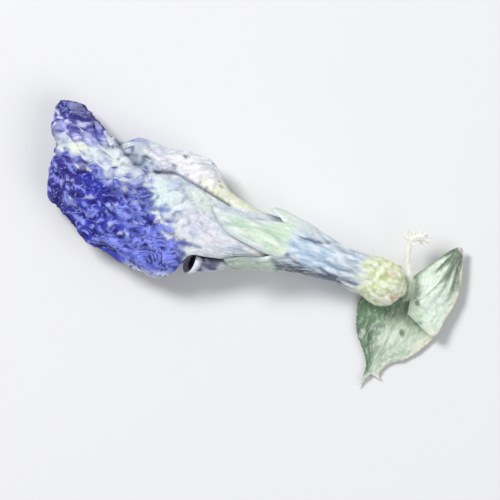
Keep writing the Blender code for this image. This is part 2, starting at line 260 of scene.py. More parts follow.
def layer(tree, name, socket="Fac"):
    return addNode(tree, "ShaderNodeAttribute", attribute_name=name).outputs[socket]


def spotOn(tree, scale, source):
    # the mesh's own flow in mm, which follows its folds and veins, or object space in metres
    if source == "flow":
        spot = layer(tree, source, "Vector")
    else:
        spot = addNode(tree, "ShaderNodeTexCoord").outputs[source]
    return addNode(tree, "ShaderNodeMapping", Vector=spot, Scale=scale).outputs[0]


def grain(tree, scale, detail, roughness, distortion=0, source="flow"):
    form = {"Scale": 1, "Detail": detail, "Roughness": roughness, "Distortion": distortion}
    return addNode(tree, "ShaderNodeTexNoise", Vector=spotOn(tree, scale, source), **form).outputs["Fac"]


def cells(tree, scale, feature):
    # small cells: the distance from their middles, or the distance from the walls between them
    form = {"Vector": spotOn(tree, scale, "flow"), "Scale": 1, "Randomness": 1}
    return addNode(tree, "ShaderNodeTexVoronoi", feature=feature, **form).outputs["Distance"]


def band(tree, value, low, high):
    # 0 below low and 1 above high
    form = {"interpolation_type": "SMOOTHSTEP", "From_Min": low, "From_Max": high}
    return addNode(tree, "ShaderNodeMapRange", Value=value, **form).outputs["Result"]


def coat(tree, under, colour, *amounts, mode="MIX"):
    # a colour over another one, as much as its amounts multiplied
    node = addNode(tree, "ShaderNodeMix", data_type="RGBA", blend_type=mode)
    for index, value in ((0, product(tree, *amounts)), (6, under), (7, (*linear(colour), 1))):
        feed(tree, node.inputs[index], value)
    return node.outputs[2]


def dress(tree, shader, colour, height, depth):
    # depth is the bump's, in mm
    bump = addNode(tree, "ShaderNodeBump", Strength=1, Distance=depth * mm, Height=height)
    feed(tree, shader.inputs["Base Color"], colour)
    feed(tree, shader.inputs["Normal"], bump.outputs["Normal"])


# Materials: a painted tint on the mesh, and grain, fibres and bump from nodes
# finish: roughness and sheen; each grain: its scale, detail, roughness and distortion
petalLook = {
    "finish": (0.74, 0.04),
    "folds": ((1, 1.9, 1.9), 3, 0.55, 0.7),
    # the glints grain places painted highlights, and the grain after it places painted shade in the crumples
    "glints": ((1.6, 2.5, 2.5), 2, 0.5, 0.6),
    "crumpleShade": ((1.2, 2.3, 2.3), 3, 0.55, 0.8),
    "fibres": ((0.5, 3.6, 3.6), 2, 0.5, 0.3),
    "netScale": (0.8, 1.6, 1.6),
    "depth": 0.17,
}


def petalMaterial():
    look = petalLook
    material, tree, shader = newMaterial("driedPetal", *look["finish"])
    folds, glints, crumpleShade, fibres = (grain(tree, *look[key]) for key in ("folds", "glints", "crumpleShade", "fibres"))
    net = cells(tree, look["netScale"], "DISTANCE_TO_EDGE")
    crinkle = layer(tree, "crinkle")
    smooth = calc(tree, "SUBTRACT", 1, crinkle)
    colour = layer(tree, "tint", "Color")
    # painted shade in the crumples, painted highlights on them, a pale painted highlight on the folds where
    # the petal is smooth, then a net of cell walls and fibres
    for tone, *amounts in (
        ("181264", band(tree, crumpleShade, 0.50, 0.62), crinkle, 0.8),
        ("9eaafc", band(tree, glints, 0.57, 0.67), crinkle, 0.7),
        ("f8fafc", band(tree, folds, 0.53, 0.68), smooth, 0.45),
        ("7886a8", band(tree, net, 0.07, 0), smooth, 0.22),
        ("606c96", band(tree, fibres, 0.5, 0.75), 0.2),
    ):
        colour = coat(tree, colour, tone, *amounts)
    height = product(tree, folds, calc(tree, "ADD", crinkle, 0.4))
    height = calc(tree, "ADD", height, product(tree, glints, crinkle, 0.5))
    height = calc(tree, "ADD", height, product(tree, fibres, 0.2))
    dress(tree, shader, colour, height, look["depth"])
    return material


# wall: the colour of veins and cell walls; paleness: how strong the pale streaks are
leafLook = {
    "calyxLeaf": {
        "wall": "889ca0",
        "streakScale": (0.55, 3, 3),
        "cellScale": (1.5, 1.8, 1.8),
        "depth": 0.13,
        "paleness": 0.42,
    },
    "bracteoleLeaf": {
        "wall": "8ea28e",
        "streakScale": (0.7, 2.6, 1),
        "cellScale": (2, 2, 1),
        "depth": 0.08,
        "paleness": 0.26,
    },
}


def leafMaterial(name):
    # papery leaf: streaks along its flow, small cells where it is thick, and the veins of the mesh
    look = leafLook[name]
    wall = look["wall"]
    material, tree, shader = newMaterial(name, 0.58, 0.1)
    vein, celled = layer(tree, "vein"), layer(tree, "celled")
    cell = cells(tree, look["cellScale"], "F1")
    net = cells(tree, [value * 1.1 for value in look["cellScale"]], "DISTANCE_TO_EDGE")
    streak = grain(tree, look["streakScale"], 3, 0.6, 0.4)
    other = grain(tree, [value * 0.8 for value in look["streakScale"]], 2, 0.55, 0.6)
    thin = calc(tree, "SUBTRACT", 1, celled)
    colour = layer(tree, "tint", "Color")
    colour = coat(tree, colour, wall, band(tree, net, 0.1, 0), thin, 0.16)
    colour = coat(tree, colour, "f8fbf8", band(tree, streak, 0.52, 0.68), look["paleness"])
    colour = coat(tree, colour, wall, band(tree, other, 0.54, 0.70), 0.32)
    colour = coat(tree, colour, "ced6b2", band(tree, cell, 0.42, 0.75), celled, 0.6, mode="MULTIPLY")
    colour = coat(tree, colour, "fcfcf0", band(tree, cell, 0.38, 0.12), celled, 0.65)
    colour = coat(tree, colour, wall, vein, 0.4)
    height = calc(tree, "SUBTRACT", product(tree, streak, 0.6), product(tree, cell, celled))
    dress(tree, shader, colour, height, look["depth"])
    return material


# each thread: its pale and deep colours, the scale of its fibres, and the colour at its foot if that
# differs; the stalk's grey green foot is painted shade where it runs in under the bracteole
threadLook = {
    "strawThread": ("e8deb8", "c8b074", (900, 4200, 4200), None),
    "greenThread": ("d6dab0", "a8b276", (900, 4200, 4200), None),
    "stalkThread": ("f6f6ee", "ccc6ac", (4200, 900, 4200), "96a68a"),
    "paleDown": ("f6f7f2", "d6d6c4", (3000, 3000, 3000), None),
}
# foot: where along y the foot's colour sets in and is full
threadForm = {"blotch": (1300, 1300, 1300), "foot": (4.6, 3.2), "depth": 0.05}


def threadMaterial(name):
    pale, deep, fibreScale, low = threadLook[name]
    form = threadForm
    material, tree, shader = newMaterial(name, 0.6, 0.12)
    fibres = grain(tree, fibreScale, 3, 0.6, 0.2, "Object")
    blotch = grain(tree, form["blotch"], 3, 0.6, 0, "Object")
    colour = coat(tree, (*linear(pale), 1), deep, band(tree, fibres, 0.48, 0.72), 0.5)
    colour = coat(tree, colour, deep, band(tree, blotch, 0.52, 0.7), 0.4)
    # painted shade at the stalk's foot, where it runs in under the bracteole
    if low:
        spot = addNode(tree, "ShaderNodeSeparateXYZ", Vector=spotOn(tree, (1 / mm,) * 3, "Object"))
        colour = coat(tree, colour, low, band(tree, spot.outputs["Y"], *form["foot"]), 0.85)
    dress(tree, shader, colour, fibres, form["depth"])
    return material


# Banner petal: folded along its midrib, a shrivelled limb and a claw that runs into the calyx
# a pair named Over says where along x a feature sets in and where it is full
# lowest and insideLowest: how near the floor the petal's middle and its inner side may come
bannerForm = {
    "along": 225,
    "across": 184,
    "skin": 0.26,
    "thickness": 0.22,
    "slant": 0.1,
    "slantHinge": 6.5,
    "tipStep": 0.55,
    "tipStepAt": 4.4,
    "tipStepWidth": 0.5,
    "slantOver": (-16, -22.5),
    "pinch": 0.4,
    "pinchOver": (-4, -9),
    "reliefOver": (-4.5, -9),
    "restSpot": (-12, 0.9),
    "restRadius": 2.4,
    "restFade": 2,
    "lowest": 0.3,
    "insideLowest": 0.08,
    "reliefHeights": (1, 3),
    "marginWave": 5,
    "marginWaves": (3, 3.7),
    "lump": 0.3,
    "lumpSize": 2.6,
    "pleat": 0.13,
    "pleats": 17,
    "limbOver": (-5, -11),
    "wrinklesOver": (5, 1),
    "wrinkle": 0.13,
    "wrinkleSize": (2, 0.95, 0.95),
    "fineWrinkle": 0.06,
    "fineWrinkleSize": (0.95, 0.52, 0.52),
    "vein": 0.05,
    "veins": 46,
    "veinsOver": (4, 0),
    "brightFold": 0.12,
    "brightFoldWidth": 0.22,
    "rim": 0.06,
    "pace": ((0, 0.15, 1), (0, 0.28, 1)),
}
# each row: x, then y and z of the oval's ends, then the angles of the two margins
bannerRows = [
    (16.3, 1.6, 3.6, 2.6, 5, -38, 38),
    (13.5, 1.4, 3.62, 2.6, 5.2, -38, 38),
    (10.5, 1.4, 3.5, 2.5, 5.6, -40, 40),
    (8, 1.3, 3.75, 2.2, 5.8, -58, 58),
    (5.5, 0.9, 4.45, 1.75, 6.15, -100, 95),
    (3, -0.2, 4.45, 1.3, 6.4, -138, 140),
    (0, -1.2, 4.6, 1.3, 6.5, -138, 150),
    (-3, -3, 5.2, 1.2, 6.6, -135, 135),
    (-4.9, -4.6, 6.6, 0.8, 6.8, -138, 128),
    (-6, -5.3, 7.5, 0.5, 6.9, -140, 160),
    (-7.6, -5.7, 7.65, 0.25, 6.95, -142, 184),
    (-10.5, -5.7, 7.1, 0.15, 6.9, -142, 188),
    (-13.8, -5.1, 7.1, 0.15, 6.6, -142, 190),
    (-16.2, -4.4, 5.95, 0.15, 6.2, -144, 190),
    (-18.4, -3.6, 6.7, 0.2, 6, -146, 190),
    (-20.6, -2.6, 8.1, 0.45, 5.7, -150, 188),
    (-22.4, -2, 8.1, 0.8, 5, -154, 186),
    (-23, -0.8, 7.8, 1.3, 4.2, -158, 182),
    (-23.2, 1.4, 7.1, 1.9, 3.4, -162, 176),
]
# creases and ridges on the upper half: a path, a height and a width in mm
bannerLines = [
    ([(-13.6, 4.4), (-11.3, 4.6), (-9.2, 5.1), (-6.5, 4.8), (-4.6, 4.4)], -0.42, 0.5),
    ([(-12, 6.4), (-9, 6.5), (-6.5, 6.2), (-5.2, 5.6)], 0.25, 0.8),
    ([(-22.6, 4.3), (-18, 4.4), (-13.5, 3.4)], 0.22, 1),
    ([(-22.8, 6.3), (-19.5, 5.9), (-16.8, 5.4)], -0.3, 0.5),
    ([(-21, 0.2), (-16.5, 0.6), (-12.5, 0)], -0.22, 0.7),
    ([(-18, -2.2), (-13, -3.4), (-9.5, -3.6)], -0.2, 0.6),
]
# tight creases, pressed into the surface and painted along with thin dark lines of shade
bannerCreases = [
    ([(-11.6, 4.5), (-9.2, 5.25), (-6.5, 4.8), (-2.7, 4.1)], -0.26, 0.2),
    ([(-8.6, 3.6), (-7, 3.2), (-5.6, 2.2)], -0.1, 0.2),
    ([(-7.4, -1), (-5.6, -1.3), (-4, -1.2)], -0.14, 0.18),
    ([(-16.4, 6), (-15.2, 5.2), (-13.7, 4.6)], -0.22, 0.22),
]
# folds that catch the light as short pale dashes
brightFolds = [
    [(-14.9, -0.5), (-13.8, -0.1)],
    [(-13.1, 0.5), (-12.2, 0.8)],
    [(-11.4, -1.3), (-10.5, -0.9)],
    [(-14, -2.3), (-13, -2.75), (-11.8, -2.7)],
    [(-18.9, -1.1), (-16.7, -0.3)],
    [(-20.3, 0.2), (-19.4, 0.6)],
]
# path of a painted highlight on the violet lobe
bannerTipGleam = [(-23.4, 5.7), (-21, 5.5), (-18.5, 5)]
# the rim of the open margin, where a pale highlight is painted
bannerRim = [(-10.8, -5.8), (-8, -5.8), (-6.2, -5.2)]
# where the blue limb gives way to the pale throat, seen from above: y at each x
limbEdge = (
    [-24.5, -21.9, -19.7, -15.8, -13.2, -11.2, -10, -8.7, -7.5, -5.7, -4.5],
    [3, 2.9, 2.6, 2.9, 2.9, 2, 0.4, -0.2, -1.3, -2.2, -3.4],
)
throatPatches = [
    ("dceeea", 0.7, (-9, 1.9), (2.6, 1.6), -20, 0.5, 1),
    ("ece6f0", 0.7, (-5, 0.9), (3.2, 1.4), -6, 0.5, 1),
    ("e6e0e5", 0.85, (-7.6, 6.2), (3.6, 1), -4, 0.4, 0.6),
    ("f8f9d8", 0.95, (-3.2, 5), (3.2, 0.9), -6, 0.5, 0.6),
    ("9eb0b8", 0.7, (-13.4, 5.5), (2.2, 0.8), -4, 0.5, 1),
    ("cecae0", 0.7, (-11.4, 5.9), (1.4, 0.8), -10, 0.5, 1),
    ("dae8da", 0.8, (-5.6, 3.4), (2, 0.7), -14, 0.5, 0.5),
]
limbPatches = [
    ("808cf2", 0.95, (-8.6, -3.2), (4.8, 3), 10, 0.6, 1),
    ("707cc8", 0.7, (-11.6, 0.9), (2.2, 1.9), -20, 0.6, 1),
]
foldPatches = [
    ("ecf2d8", 0.8, (-20.2, 4.1), (0.9, 0.5), 0, 0.5, 0.5),
    ("e8eed4", 0.7, (-15.2, 3.9), (1, 0.5), 0, 0.5, 0.5),
]
# dark spots: most of them painted shade in small hollows along the creases, a few dark specks in the throat
darkSpots = [
    ("3a4454", strength, middle, size, 20, 0.5, 1)
    for middle, size, strength in [
        ((-16.2, 5.8), (0.5, 0.3), 0.85),
        ((-13.7, 4.6), (0.5, 0.3), 0.9),
        ((-11.4, 4.5), (0.5, 0.2), 0.8),
        ((-11.2, 2.2), (0.3, 0.2), 0.7),
        ((-10.6, 1.2), (0.25, 0.2), 0.6),
        ((-12.3, 1.7), (0.3, 0.2), 0.6),
        ((-13, 5.4), (0.45, 0.22), 0.85),
        ((-11, 4.9), (0.6, 0.2), 0.9),
        ((-9.7, 5.3), (0.4, 0.18), 0.8),
        ((-12.2, 4.1), (0.4, 0.2), 0.7),
        ((-14.8, 5.2), (0.45, 0.25), 0.8),
    ]
]


def onOval(rows, turn):
    # points on the oval sections of rows, where turn 0 is +Y and a quarter turn is up
    form = bannerForm
    x, yOpen, yFold, zUnder, zOver = (rows[:, k : k + 1] for k in range(5))
    lift = np.sin(turn)
    lift = lift * np.abs(lift) ** (form["pinch"] * ramp(x, *form["pinchOver"]))
    y = (yOpen + yFold) / 2 + (yFold - yOpen) / 2 * np.cos(turn)
    z = (zUnder + zOver) / 2 + (zOver - zUnder) / 2 * lift
    step = np.tanh((y - form["tipStepAt"]) / form["tipStepWidth"])
    slant = form["slant"] * (form["slantHinge"] - y) - form["tipStep"] * step
    return stack(x + slant * ramp(x, *form["slantOver"]), y, z)


def bannerBase():
    form = bannerForm
    rows = smoothRows(bannerRows, form["along"], form["pace"])
    x, yOpen, yFold, zUnder, zOver, under, over = (rows[:, k : k + 1] for k in range(7))
    part = ramp(x, *form["reliefOver"])
    underWave, overWave = form["marginWaves"]
    under = under + form["marginWave"] * part * np.sin(math.tau * x / underWave)
    over = over + form["marginWave"] * part * np.sin(math.tau * x / overWave + 1)
    turn = np.radians(under + (over - under) * np.linspace(0, 1, form["across"]))
    points = onOval(rows, turn)
    out = stack(0, np.cos(turn) / (yFold - yOpen), np.sin(turn) / (zOver - zUnder))
    out /= np.linalg.norm(out, axis=-1, keepdims=True)
    drift = 0.6 * noiseAt(stack(x / 5, turn, 2), 1)
    push = form["lump"] * noiseAt(points, form["lumpSize"])
    push += form["pleat"] * np.sin(form["pleats"] * (turn + drift))
    for path, rise, width in bannerLines:
        push += (turn > 0) * rise * nearPath(points, path, width)
    raised = ramp(points[..., 2], *form["reliefHeights"])
    away = np.hypot(points[..., 0] - form["restSpot"][0], points[..., 1] - form["restSpot"][1])
    dent = ramp(away, form["restRadius"], form["restRadius"] + form["restFade"])
    push = push * raised + np.minimum(2 * push, 0) * dent * (1 - raised)
    points = points + out * (push * part)[..., None]
    points[..., 2] = np.maximum(points[..., 2], form["lowest"])
    return points, turn, x


def bannerWrinkles(points, turn, x):
    # crumples with sharp crests, finer ones on them, and veins that fan out of the claw
    form = bannerForm
    limb = fade(x, *form["limbOver"])
    flow = warped(points, 2, 0.9)
    crest = creases(flow, form["wrinkleSize"], 3.1)
    short = noiseAt(flow, form["fineWrinkleSize"], 7.7)
    column = np.linspace(0, 1, form["across"])[None, :] * form["veins"]
    column = column + 0.5 * noiseAt(points, (5, 1.5, 1.5), 4.4)
    vein = ramp(np.abs(column % 1 - 0.5) * 2, 0.72, 1) * fade(x, *form["veinsOver"])
    lift = (0.35 + 0.65 * limb) * form["wrinkle"] * (np.maximum(crest, -0.5) - 0.25)
    lift += (0.3 + 0.7 * limb) * form["fineWrinkle"] * 2 * short
    lift += form["vein"] * vein * (1 - 0.7 * limb)
    folds = [(path, form["brightFold"], form["brightFoldWidth"]) for path in brightFolds]
    for path, rise, width in bannerCreases + folds:
        lift += (turn > 0) * rise * nearPath(points, path, width)
    return lift * fade(x, *form["wrinklesOver"]), crest, short, vein, flow


def bannerPaint(points, turn, crest, short, vein):
    x, y = points[..., 0], points[..., 1]
    wobble = noiseAt(points, (1.8, 1.2, 1.2), 1.3)
    wisp = noiseAt(points, (2.6, 0.5, 0.5), 5)
    cluster = noiseAt(points, (3.5, 2.2, 2.2), 8.2)
    speck = noiseAt(points, 0.55, 14)
    ridge = fade(y, 4.9, 5.5)
    below = np.interp(x, *limbEdge) - y + 1.3 * wobble + 1.3 * wisp + 1.6 * short
    blue = fade(below, -0.8, 1)
    hem = fade(below, -1.5, -0.1) * (1 - blue)
    fringe = fade(below, -3.2, -0.6) * fade(x, -5, -8) * (1 - blue)
    # painted highlights on the crests of the wrinkles, and painted shade in the valleys between them
    light = fade(0.4 * crest + 1.5 * short + 0.7 * cluster, 0.45, 0.75)
    dark = fade(-0.4 * crest - 1.2 * short - 0.5 * cluster, 0.1, 0.5)
    tint = lay(
        linear("d8e1e8"),
        # the pale throat and claw, with specks and a bluish hem toward the limb
        ("b2c0d8", fade(wisp + 0.6 * wobble, 0.08, 0.45) * (0.6 - 0.45 * ridge)),
        ("f4f6f8", fade(-wisp - 0.4 * wobble, 0.08, 0.4) * 0.8),
        *patchCoats(points, wobble, throatPatches),
        ("a0aece", vein * (0.28 - 0.18 * ridge) * (1 - blue)),
        ("68748c", fade(speck, 0.24, 0.38) * fade(x, -2, -6) * (0.4 + 0.5 * ridge)),
        # painted highlights on the fine wrinkles along the ridge
        ("fcfafc", ridge * fade(short, -0.05, 0.2) * fade(x, -14.5, -12) * 0.85),
        ("7684cc", hem * fade(short + 0.5 * crest, -0.1, 0.4) * 0.8),
        ("4c5c94", fringe * fade(speck, 0.1, 0.28) * 0.75),
        # the blue limb: deep ground, paler toward the throat, violet at its end, painted highlights on its
        # crests and painted shade between them
        ("3438b0", blue),
        *patchCoats(points, wobble, limbPatches, blue),
        ("3c2c8a", blue * fade(x + 1.5 * wobble, -16.5, -20.5) * 0.85),
        ("9eaafc", blue * light * 0.7),
        ("1a1464", blue * dark * 0.88),
    )
    # the pale band along the fold, and the violet lobe beyond it
    pale = patch(points, (-17.5, 3.9), (4.3, 1.1), -2, 0.4, wobble * 0.8 + wisp * 0.6 + speck * 0.5)
    tip = fade(y + 0.8 * wobble, 4.5, 5.3) * fade(x + wobble, -17, -18.6)
    streaks = fade(1.4 * short + 0.5 * crest + wisp, 0.25, 0.65)
    gleam = nearPath(points, bannerTipGleam, 0.5) * (turn > 0) * fade(wisp, -0.35, 0.1)
    tint = lay(
        tint,
        ("dee7ea", pale * 0.95),
        *patchCoats(points, wobble, foldPatches, pale),
        ("8694cc", pale * fade(short, 0.06, 0.26) * 0.55),
        ("605ebc", tip * 0.95),
        # painted shade along the lobe's upper edge, where it falls away
        ("221a74", tip * fade(y + 0.6 * wisp, 5.9, 7) * 0.92),
        ("302882", tip * fade(-wisp - 0.6 * short, 0.12, 0.4) * 0.8),
        ("e2e4ff", tip * streaks * (0.95 - 0.7 * fade(y, 6.3, 7.3))),
        # a painted highlight along a line on the lobe
        ("babef0", gleam * 0.9),
        ("545696", fade(x + 0.5 * wobble, -22.2, -23.2) * fade(y, 5.6, 4.8) * 0.7),
        ("7078be", fade(y, 6.1, 7) * fade(x, -12.5, -14) * (1 - tip) * 0.6),
        # painted shade in the hollows along the creases, and a few dark specks
        *patchCoats(points, speck, darkSpots),
    )
    # painted shade along each tight crease
    for path, rise, width in bannerCreases:
        near = nearPath(points, path, width * 0.8) * min(0.9, -rise * 3.4)
        tint = lay(tint, ("464a64", (turn > 0) * near))
    # a painted highlight along each bright fold
    for path in brightFolds:
        near = nearPath(points, path, 0.16) * fade(short, -0.2, 0.2) * 0.8
        tint = lay(tint, ("d6dcfa", (turn > 0) * near))
    # a painted highlight along the rim of the open margin, and the half that lies on the surface, which
    # stays bluer
    rim = nearPath(points, bannerRim, 0.4) * fade(turn, 0, 0.3)
    under = (1 - fade(turn, -0.9, -0.3)) * fade(x, -5, -9)
    tint = lay(tint, ("e8ecf8", rim * 0.9), ("4a4eaa", under * 0.5))
    crinkle = np.clip(blue + tip * 0.6, 0, 1) * fade(x, -3, -6) * (1 - 0.8 * pale)
    return tint, crinkle


def makeBanner():
    form = bannerForm
    points, turn, x = bannerBase()
    lift, crest, short, vein, flow = bannerWrinkles(points, turn, x)
    tint, crinkle = bannerPaint(points, turn, crest, short, vein)
    normals = gridNormals(points)
    inside = edgeShare(points, 5)
    lift = lift * (0.4 + 0.6 * inside)
    skin = form["skin"] - form["rim"] * (1 - inside)
    thickness = form["thickness"] * (0.3 + 0.7 * inside)
    outer = points + normals * (skin + lift)[..., None]
    inner = points + normals * (skin + np.minimum(lift, 0) - thickness)[..., None]
    outer[..., 2] = np.maximum(outer[..., 2], 0)
    inner[..., 2] = np.maximum(inner[..., 2], form["insideLowest"])
    innerTint = lay(
        linear("4a48a0"),
        ("d6d6be", fade(x, -9, -3)),
        ("28226e", fade(short, 0, 0.35) * 0.6),
    )
    layers = {"tint": tint, "crinkle": crinkle, "flow": flow}
    innerLayers = {"tint": innerTint, "crinkle": crinkle * 0.6}
    shellPiece("bannerPetal", outer, inner, petal, layers, innerLayers)


# Inner petals: the two wings, of which one rolled up to a scroll at the margin, and the fused keel
# rows: as in bannerRows; colours: of the petal, of its streaks and of its inner side
innerPetals = {
    "wingPetalUpper": {
        "grid": (150, 46),
        "skin": 0.18,
        "thickness": 0.16,
        "colours": ("c4c6e2", "7074be", "9698cc"),
        "rows": [
            (13, 1.5, 3.1, 2.6, 5.2, 70, 110),
            (10, 1.4, 3.2, 2.7, 5.3, 66, 114),
            (7, 1.2, 3.6, 2.7, 5.12, 70, 110),
            (4.5, 0.3, 4.1, 2.3, 5.22, 66, 114),
            (2, -0.2, 3.9, 2.2, 5.45, 62, 122),
            (-1, -0.6, 4, 2.2, 5.6, 60, 128),
            (-4, -2.5, 4.9, 2, 5.75, 55, 120),
            (-6.5, -3.5, 5.8, 2, 5.9, 60, 115),
            (-8.5, -3, 5, 2.2, 5.8, 70, 105),
            (-9.3, -1.5, 3.5, 2.5, 5.6, 80, 98),
        ],
    },
    "wingPetalLower": {
        "grid": (130, 96),
        "skin": 0.22,
        "thickness": 0.2,
        # the inner side's near black is painted shade inside the scroll
        "colours": ("ced1e2", "8084a8", "221e3a"),
        "rows": [
            (4.5, 0.35, 2.4, 2.7, 5, 152, 208),
            (2, -0.6, 1.4, 2.9, 4.9, 130, 230),
            (0, -1.7, 0.1, 3.1, 4.7, 92, 325),
            (-2, -3, -1.1, 2.9, 4.8, 74, 388),
            (-3.8, -3.7, -1.7, 2.9, 4.9, 60, 396),
            (-5.2, -4, -2, 3, 5.1, 56, 398),
        ],
    },
    "keelPetals": {
        "grid": (140, 80),
        "skin": 0.18,
        "thickness": 0.16,
        "colours": ("e2dece", "c4c8be", "d6d2c4"),
        "rows": [
            (10, 1.5, 2.9, 2.75, 5.2, 250, 290),
            (7, 1.5, 3.3, 2.7, 5.1, 246, 294),
            (4.5, 1.4, 4.2, 2.6, 5, 220, 280),
            (2.5, 1.3, 4.6, 2.32, 4.62, 110, 268),
            (0, 0.9, 4.6, 2.25, 4.65, 92, 268),
            (-3, 0, 4.2, 2.15, 4.75, 85, 274),
            (-6, -0.6, 3.6, 2.1, 4.8, 80, 278),
            (-8, -0.6, 2.9, 2.3, 4.6, 85, 275),
            (-9.2, 0, 2, 2.9, 4.1, 110, 250),
        ],
    },
}
# the scroll's mouth is cut aslant, so that its pale lip and its hollow, painted dark inside as shade, show
# from above
scrollForm = {
    "mouth": (-2.6, -5.2),
    "cut": 1.15,
    "flare": 0.2,
    "flareOver": (-4.2, -5.2),
    "lip": (-4.6, -4.85),
}
crimpForm = {
    "crimp": 0.06,
    "crimpSize": (1.6, 0.6, 0.6),
    "fineCrimp": 0.03,
    "fineCrimpSize": (0.7, 0.3, 0.3),
    "rim": 0.05,
}


def makeInnerPetal(name, form):
    along, across = form["grid"]
    rows = smoothRows(form["rows"], along)
    turn = np.radians(rows[:, 5:6] + (rows[:, 6:7] - rows[:, 5:6]) * np.linspace(0, 1, across))
    points = onOval(rows, turn)
    x = rows[:, :1]
    pale, deep, hollow = form["colours"]
    streak = noiseAt(points, (3, 0.4, 0.4), 2)
    tint = lay(linear(pale), (deep, fade(streak, 0, 0.4) * 0.7))
    innerTint = linear(hollow)
    if name == "wingPetalLower":
        spread = scrollForm["flare"] * fade(x, *scrollForm["flareOver"])
        points[..., 0] += scrollForm["cut"] * fade(x, *scrollForm["mouth"]) * (1 + np.sin(turn)) / 2
        points[..., 1] += spread * np.cos(turn)
        points[..., 2] += spread * np.sin(turn)
        # painted shadow along the scroll's upper side, under the banner's margin
        shadowUnderBanner = fade(0.25 * streak + np.sin(turn), 0.62, 0.86) * fade(x, -4.5, -3.9)
        tint = lay(
            tint,
            ("3a3e60", shadowUnderBanner * 0.85),
            ("bed0be", fade(x, -2.4, 0.6) * 0.8),
            ("f4f5fc", fade(x, *scrollForm["lip"]) * 0.95),
        )
        innerTint = lay(
            innerTint,
            ("6e76b0", fade(np.abs(x + 4.15), 0.22, 0.06) * 0.6),
            ("f0f2fa", fade(x, -4.55, -4.8) * 0.95),
        )
    normals = gridNormals(points)
    inside = edgeShare(points, 4)
    crimp = crimpForm["crimp"] * noiseAt(points, crimpForm["crimpSize"])
    crimp += crimpForm["fineCrimp"] * noiseAt(points, crimpForm["fineCrimpSize"], 4)
    skin = form["skin"] - crimpForm["rim"] * (1 - inside)
    outer = points + normals * (skin + crimp * inside)[..., None]
    inner = points + normals * (skin - form["thickness"] * (0.3 + 0.7 * inside))[..., None]
    layers = {"tint": tint, "crinkle": 0.12, "flow": points}
    shellPiece(name, outer, inner, petal, layers, {"tint": innerTint})


# Calyx: swollen base, ribbed tube and five lobes that dried onto the petals
# hug: how much nearer to the petals the lobes' margins lie; deepest: the limit of its dents
calyxForm = {
    "mouth": 3.6,
    "pole": (18, 2.55, 3.7),
    "poleRise": 0.12,
    "skin": 0.2,
    "thickness": 0.22,
    "columns": 24,
    "tubeRows": 130,
    "capRows": 14,
    "lobeRows": 46,
    "lobeTaper": 0.8,
    "lobeWave": 0.06,
    "hug": 0.24,
    "ribs": 10,
    "ribHeight": 0.06,
    "ribsOver": (16, 12.5),
    "crease": 0.09,
    "creaseSize": (3, 0.8, 0.8),
    "grain": 0.05,
    "grainSize": (1.2, 0.4, 0.4),
    "wart": 0.16,
    "wartSize": 0.62,
    "deepest": 0.15,
    "baseFrom": 15.6,
    "baseTurn": 1.1,
    "hairsAbove": 0.9,
}
# each row: x, then y and z of the oval's ends
calyxRows = [
    (17.7, 1.7, 3.4, 2.8, 4.6),
    (16.9, 0.5, 4.4, 1.7, 5.6),
    (15.4, 0.1, 4.7, 1.4, 5.9),
    (14, 0.5, 4.6, 1.6, 5.9),
    (12.2, 0.6, 4.35, 1.75, 6.1),
    (10.5, 0.7, 4.4, 1.65, 6.3),
    (8.3, 0.4, 4.65, 1.3, 6.65),
    (5.6, -0.05, 5.4, 0.85, 7.05),
    (3.6, -0.85, 5.5, 0.4, 7.3),
    (0, -2.2, 5.5, 0.4, 7.4),
    (-3, -3.9, 6.1, 0.3, 7.5),
    (-6, -6.2, 8.4, 0.3, 7.8),
]
# each lobe: the angle of its middle, its length, and how far its tip leans round the flower
calyxLobes = [(10, 2, 0), (82, 7.9, -14), (154, 4.8, -20), (226, 5.6, 8), (298, 6.6, 12)]
# dents on the calyx's upper side, most painted dark as shade in them and the last two as mint streaks: a
# path, its width, its depth, its colour and its strength
calyxLines = [
    ([(5.6, 3.75), (7.2, 3.75), (8.7, 4.15)], 0.17, 0.16, "404e70", 0.9),
    ([(4.9, 1.5), (5.8, 1.2), (7.6, 0.6)], 0.2, 0.16, "40527c", 0.85),
    ([(11.4, 1.1), (13.1, 1.1)], 0.2, 0.14, "3c485c", 0.9),
    ([(8.2, 0.75), (9.4, 0.6), (10.8, 0.75)], 0.2, 0.12, "485c84", 0.7),
    ([(3.6, 0.5), (4.6, -0.1), (7.2, 0.2)], 0.3, 0.1, "546892", 0.7),
    ([(4.6, -0.05), (6.2, 0.2), (8.4, 0.4), (10.2, 0.75), (12, 0.8)], 0.42, 0.1, "16284c", 0.95),
    ([(8.7, 1.5), (9.6, 1.2), (10.8, 1.25)], 0.15, 0.1, "2c3e60", 0.8),
    ([(9, 2.2), (10.6, 2), (12, 2.3)], 0.16, 0.08, "788ca8", 0.6),
    ([(6.2, 2.4), (7.6, 2.2), (9, 2.6)], 0.16, 0.08, "8298be", 0.6),
    ([(2.4, 3.1), (-0.6, 3.7), (-2.6, 3.9)], 0.2, 0.07, "a4c0a0", 0.6),
    ([(3.2, 1.7), (0.4, 1.9), (-2, 2.7)], 0.18, 0.07, "acc6a8", 0.5),
]
# the base's patches: a painted pool of light on its steep lower end, and brownish spots
basePatches = [
    ("fafbec", 0.8, (17, 1.3), (1.2, 1.1), 40, 0.6, 0.6),
    ("d6ac7a", 0.75, (17.2, 1.4), (0.55, 0.3), 60, 0.5, 0.9),
    ("cebe8c", 0.6, (16.2, 3.4), (0.6, 0.35), 10, 0.6, 0.6),
]


def calyxBed(x):
    table = np.array(calyxRows)[::-1]
    return stack(x, *(np.interp(x, table[:, 0], ends) for ends in table.T[1:]))


def calyxOut(points):
    # the way out from the calyx's axis, turning along it at the base
    bed = calyxBed(points[..., 0])
    y, z = (bed[..., 1] + bed[..., 2]) / 2, (bed[..., 3] + bed[..., 4]) / 2
    base = np.maximum(points[..., 0] - calyxForm["baseFrom"], 0) * calyxForm["baseTurn"]
    out = stack(base, points[..., 1] - y, points[..., 2] - z)
    return out / np.maximum(np.linalg.norm(out, axis=-1, keepdims=True), 1e-6)


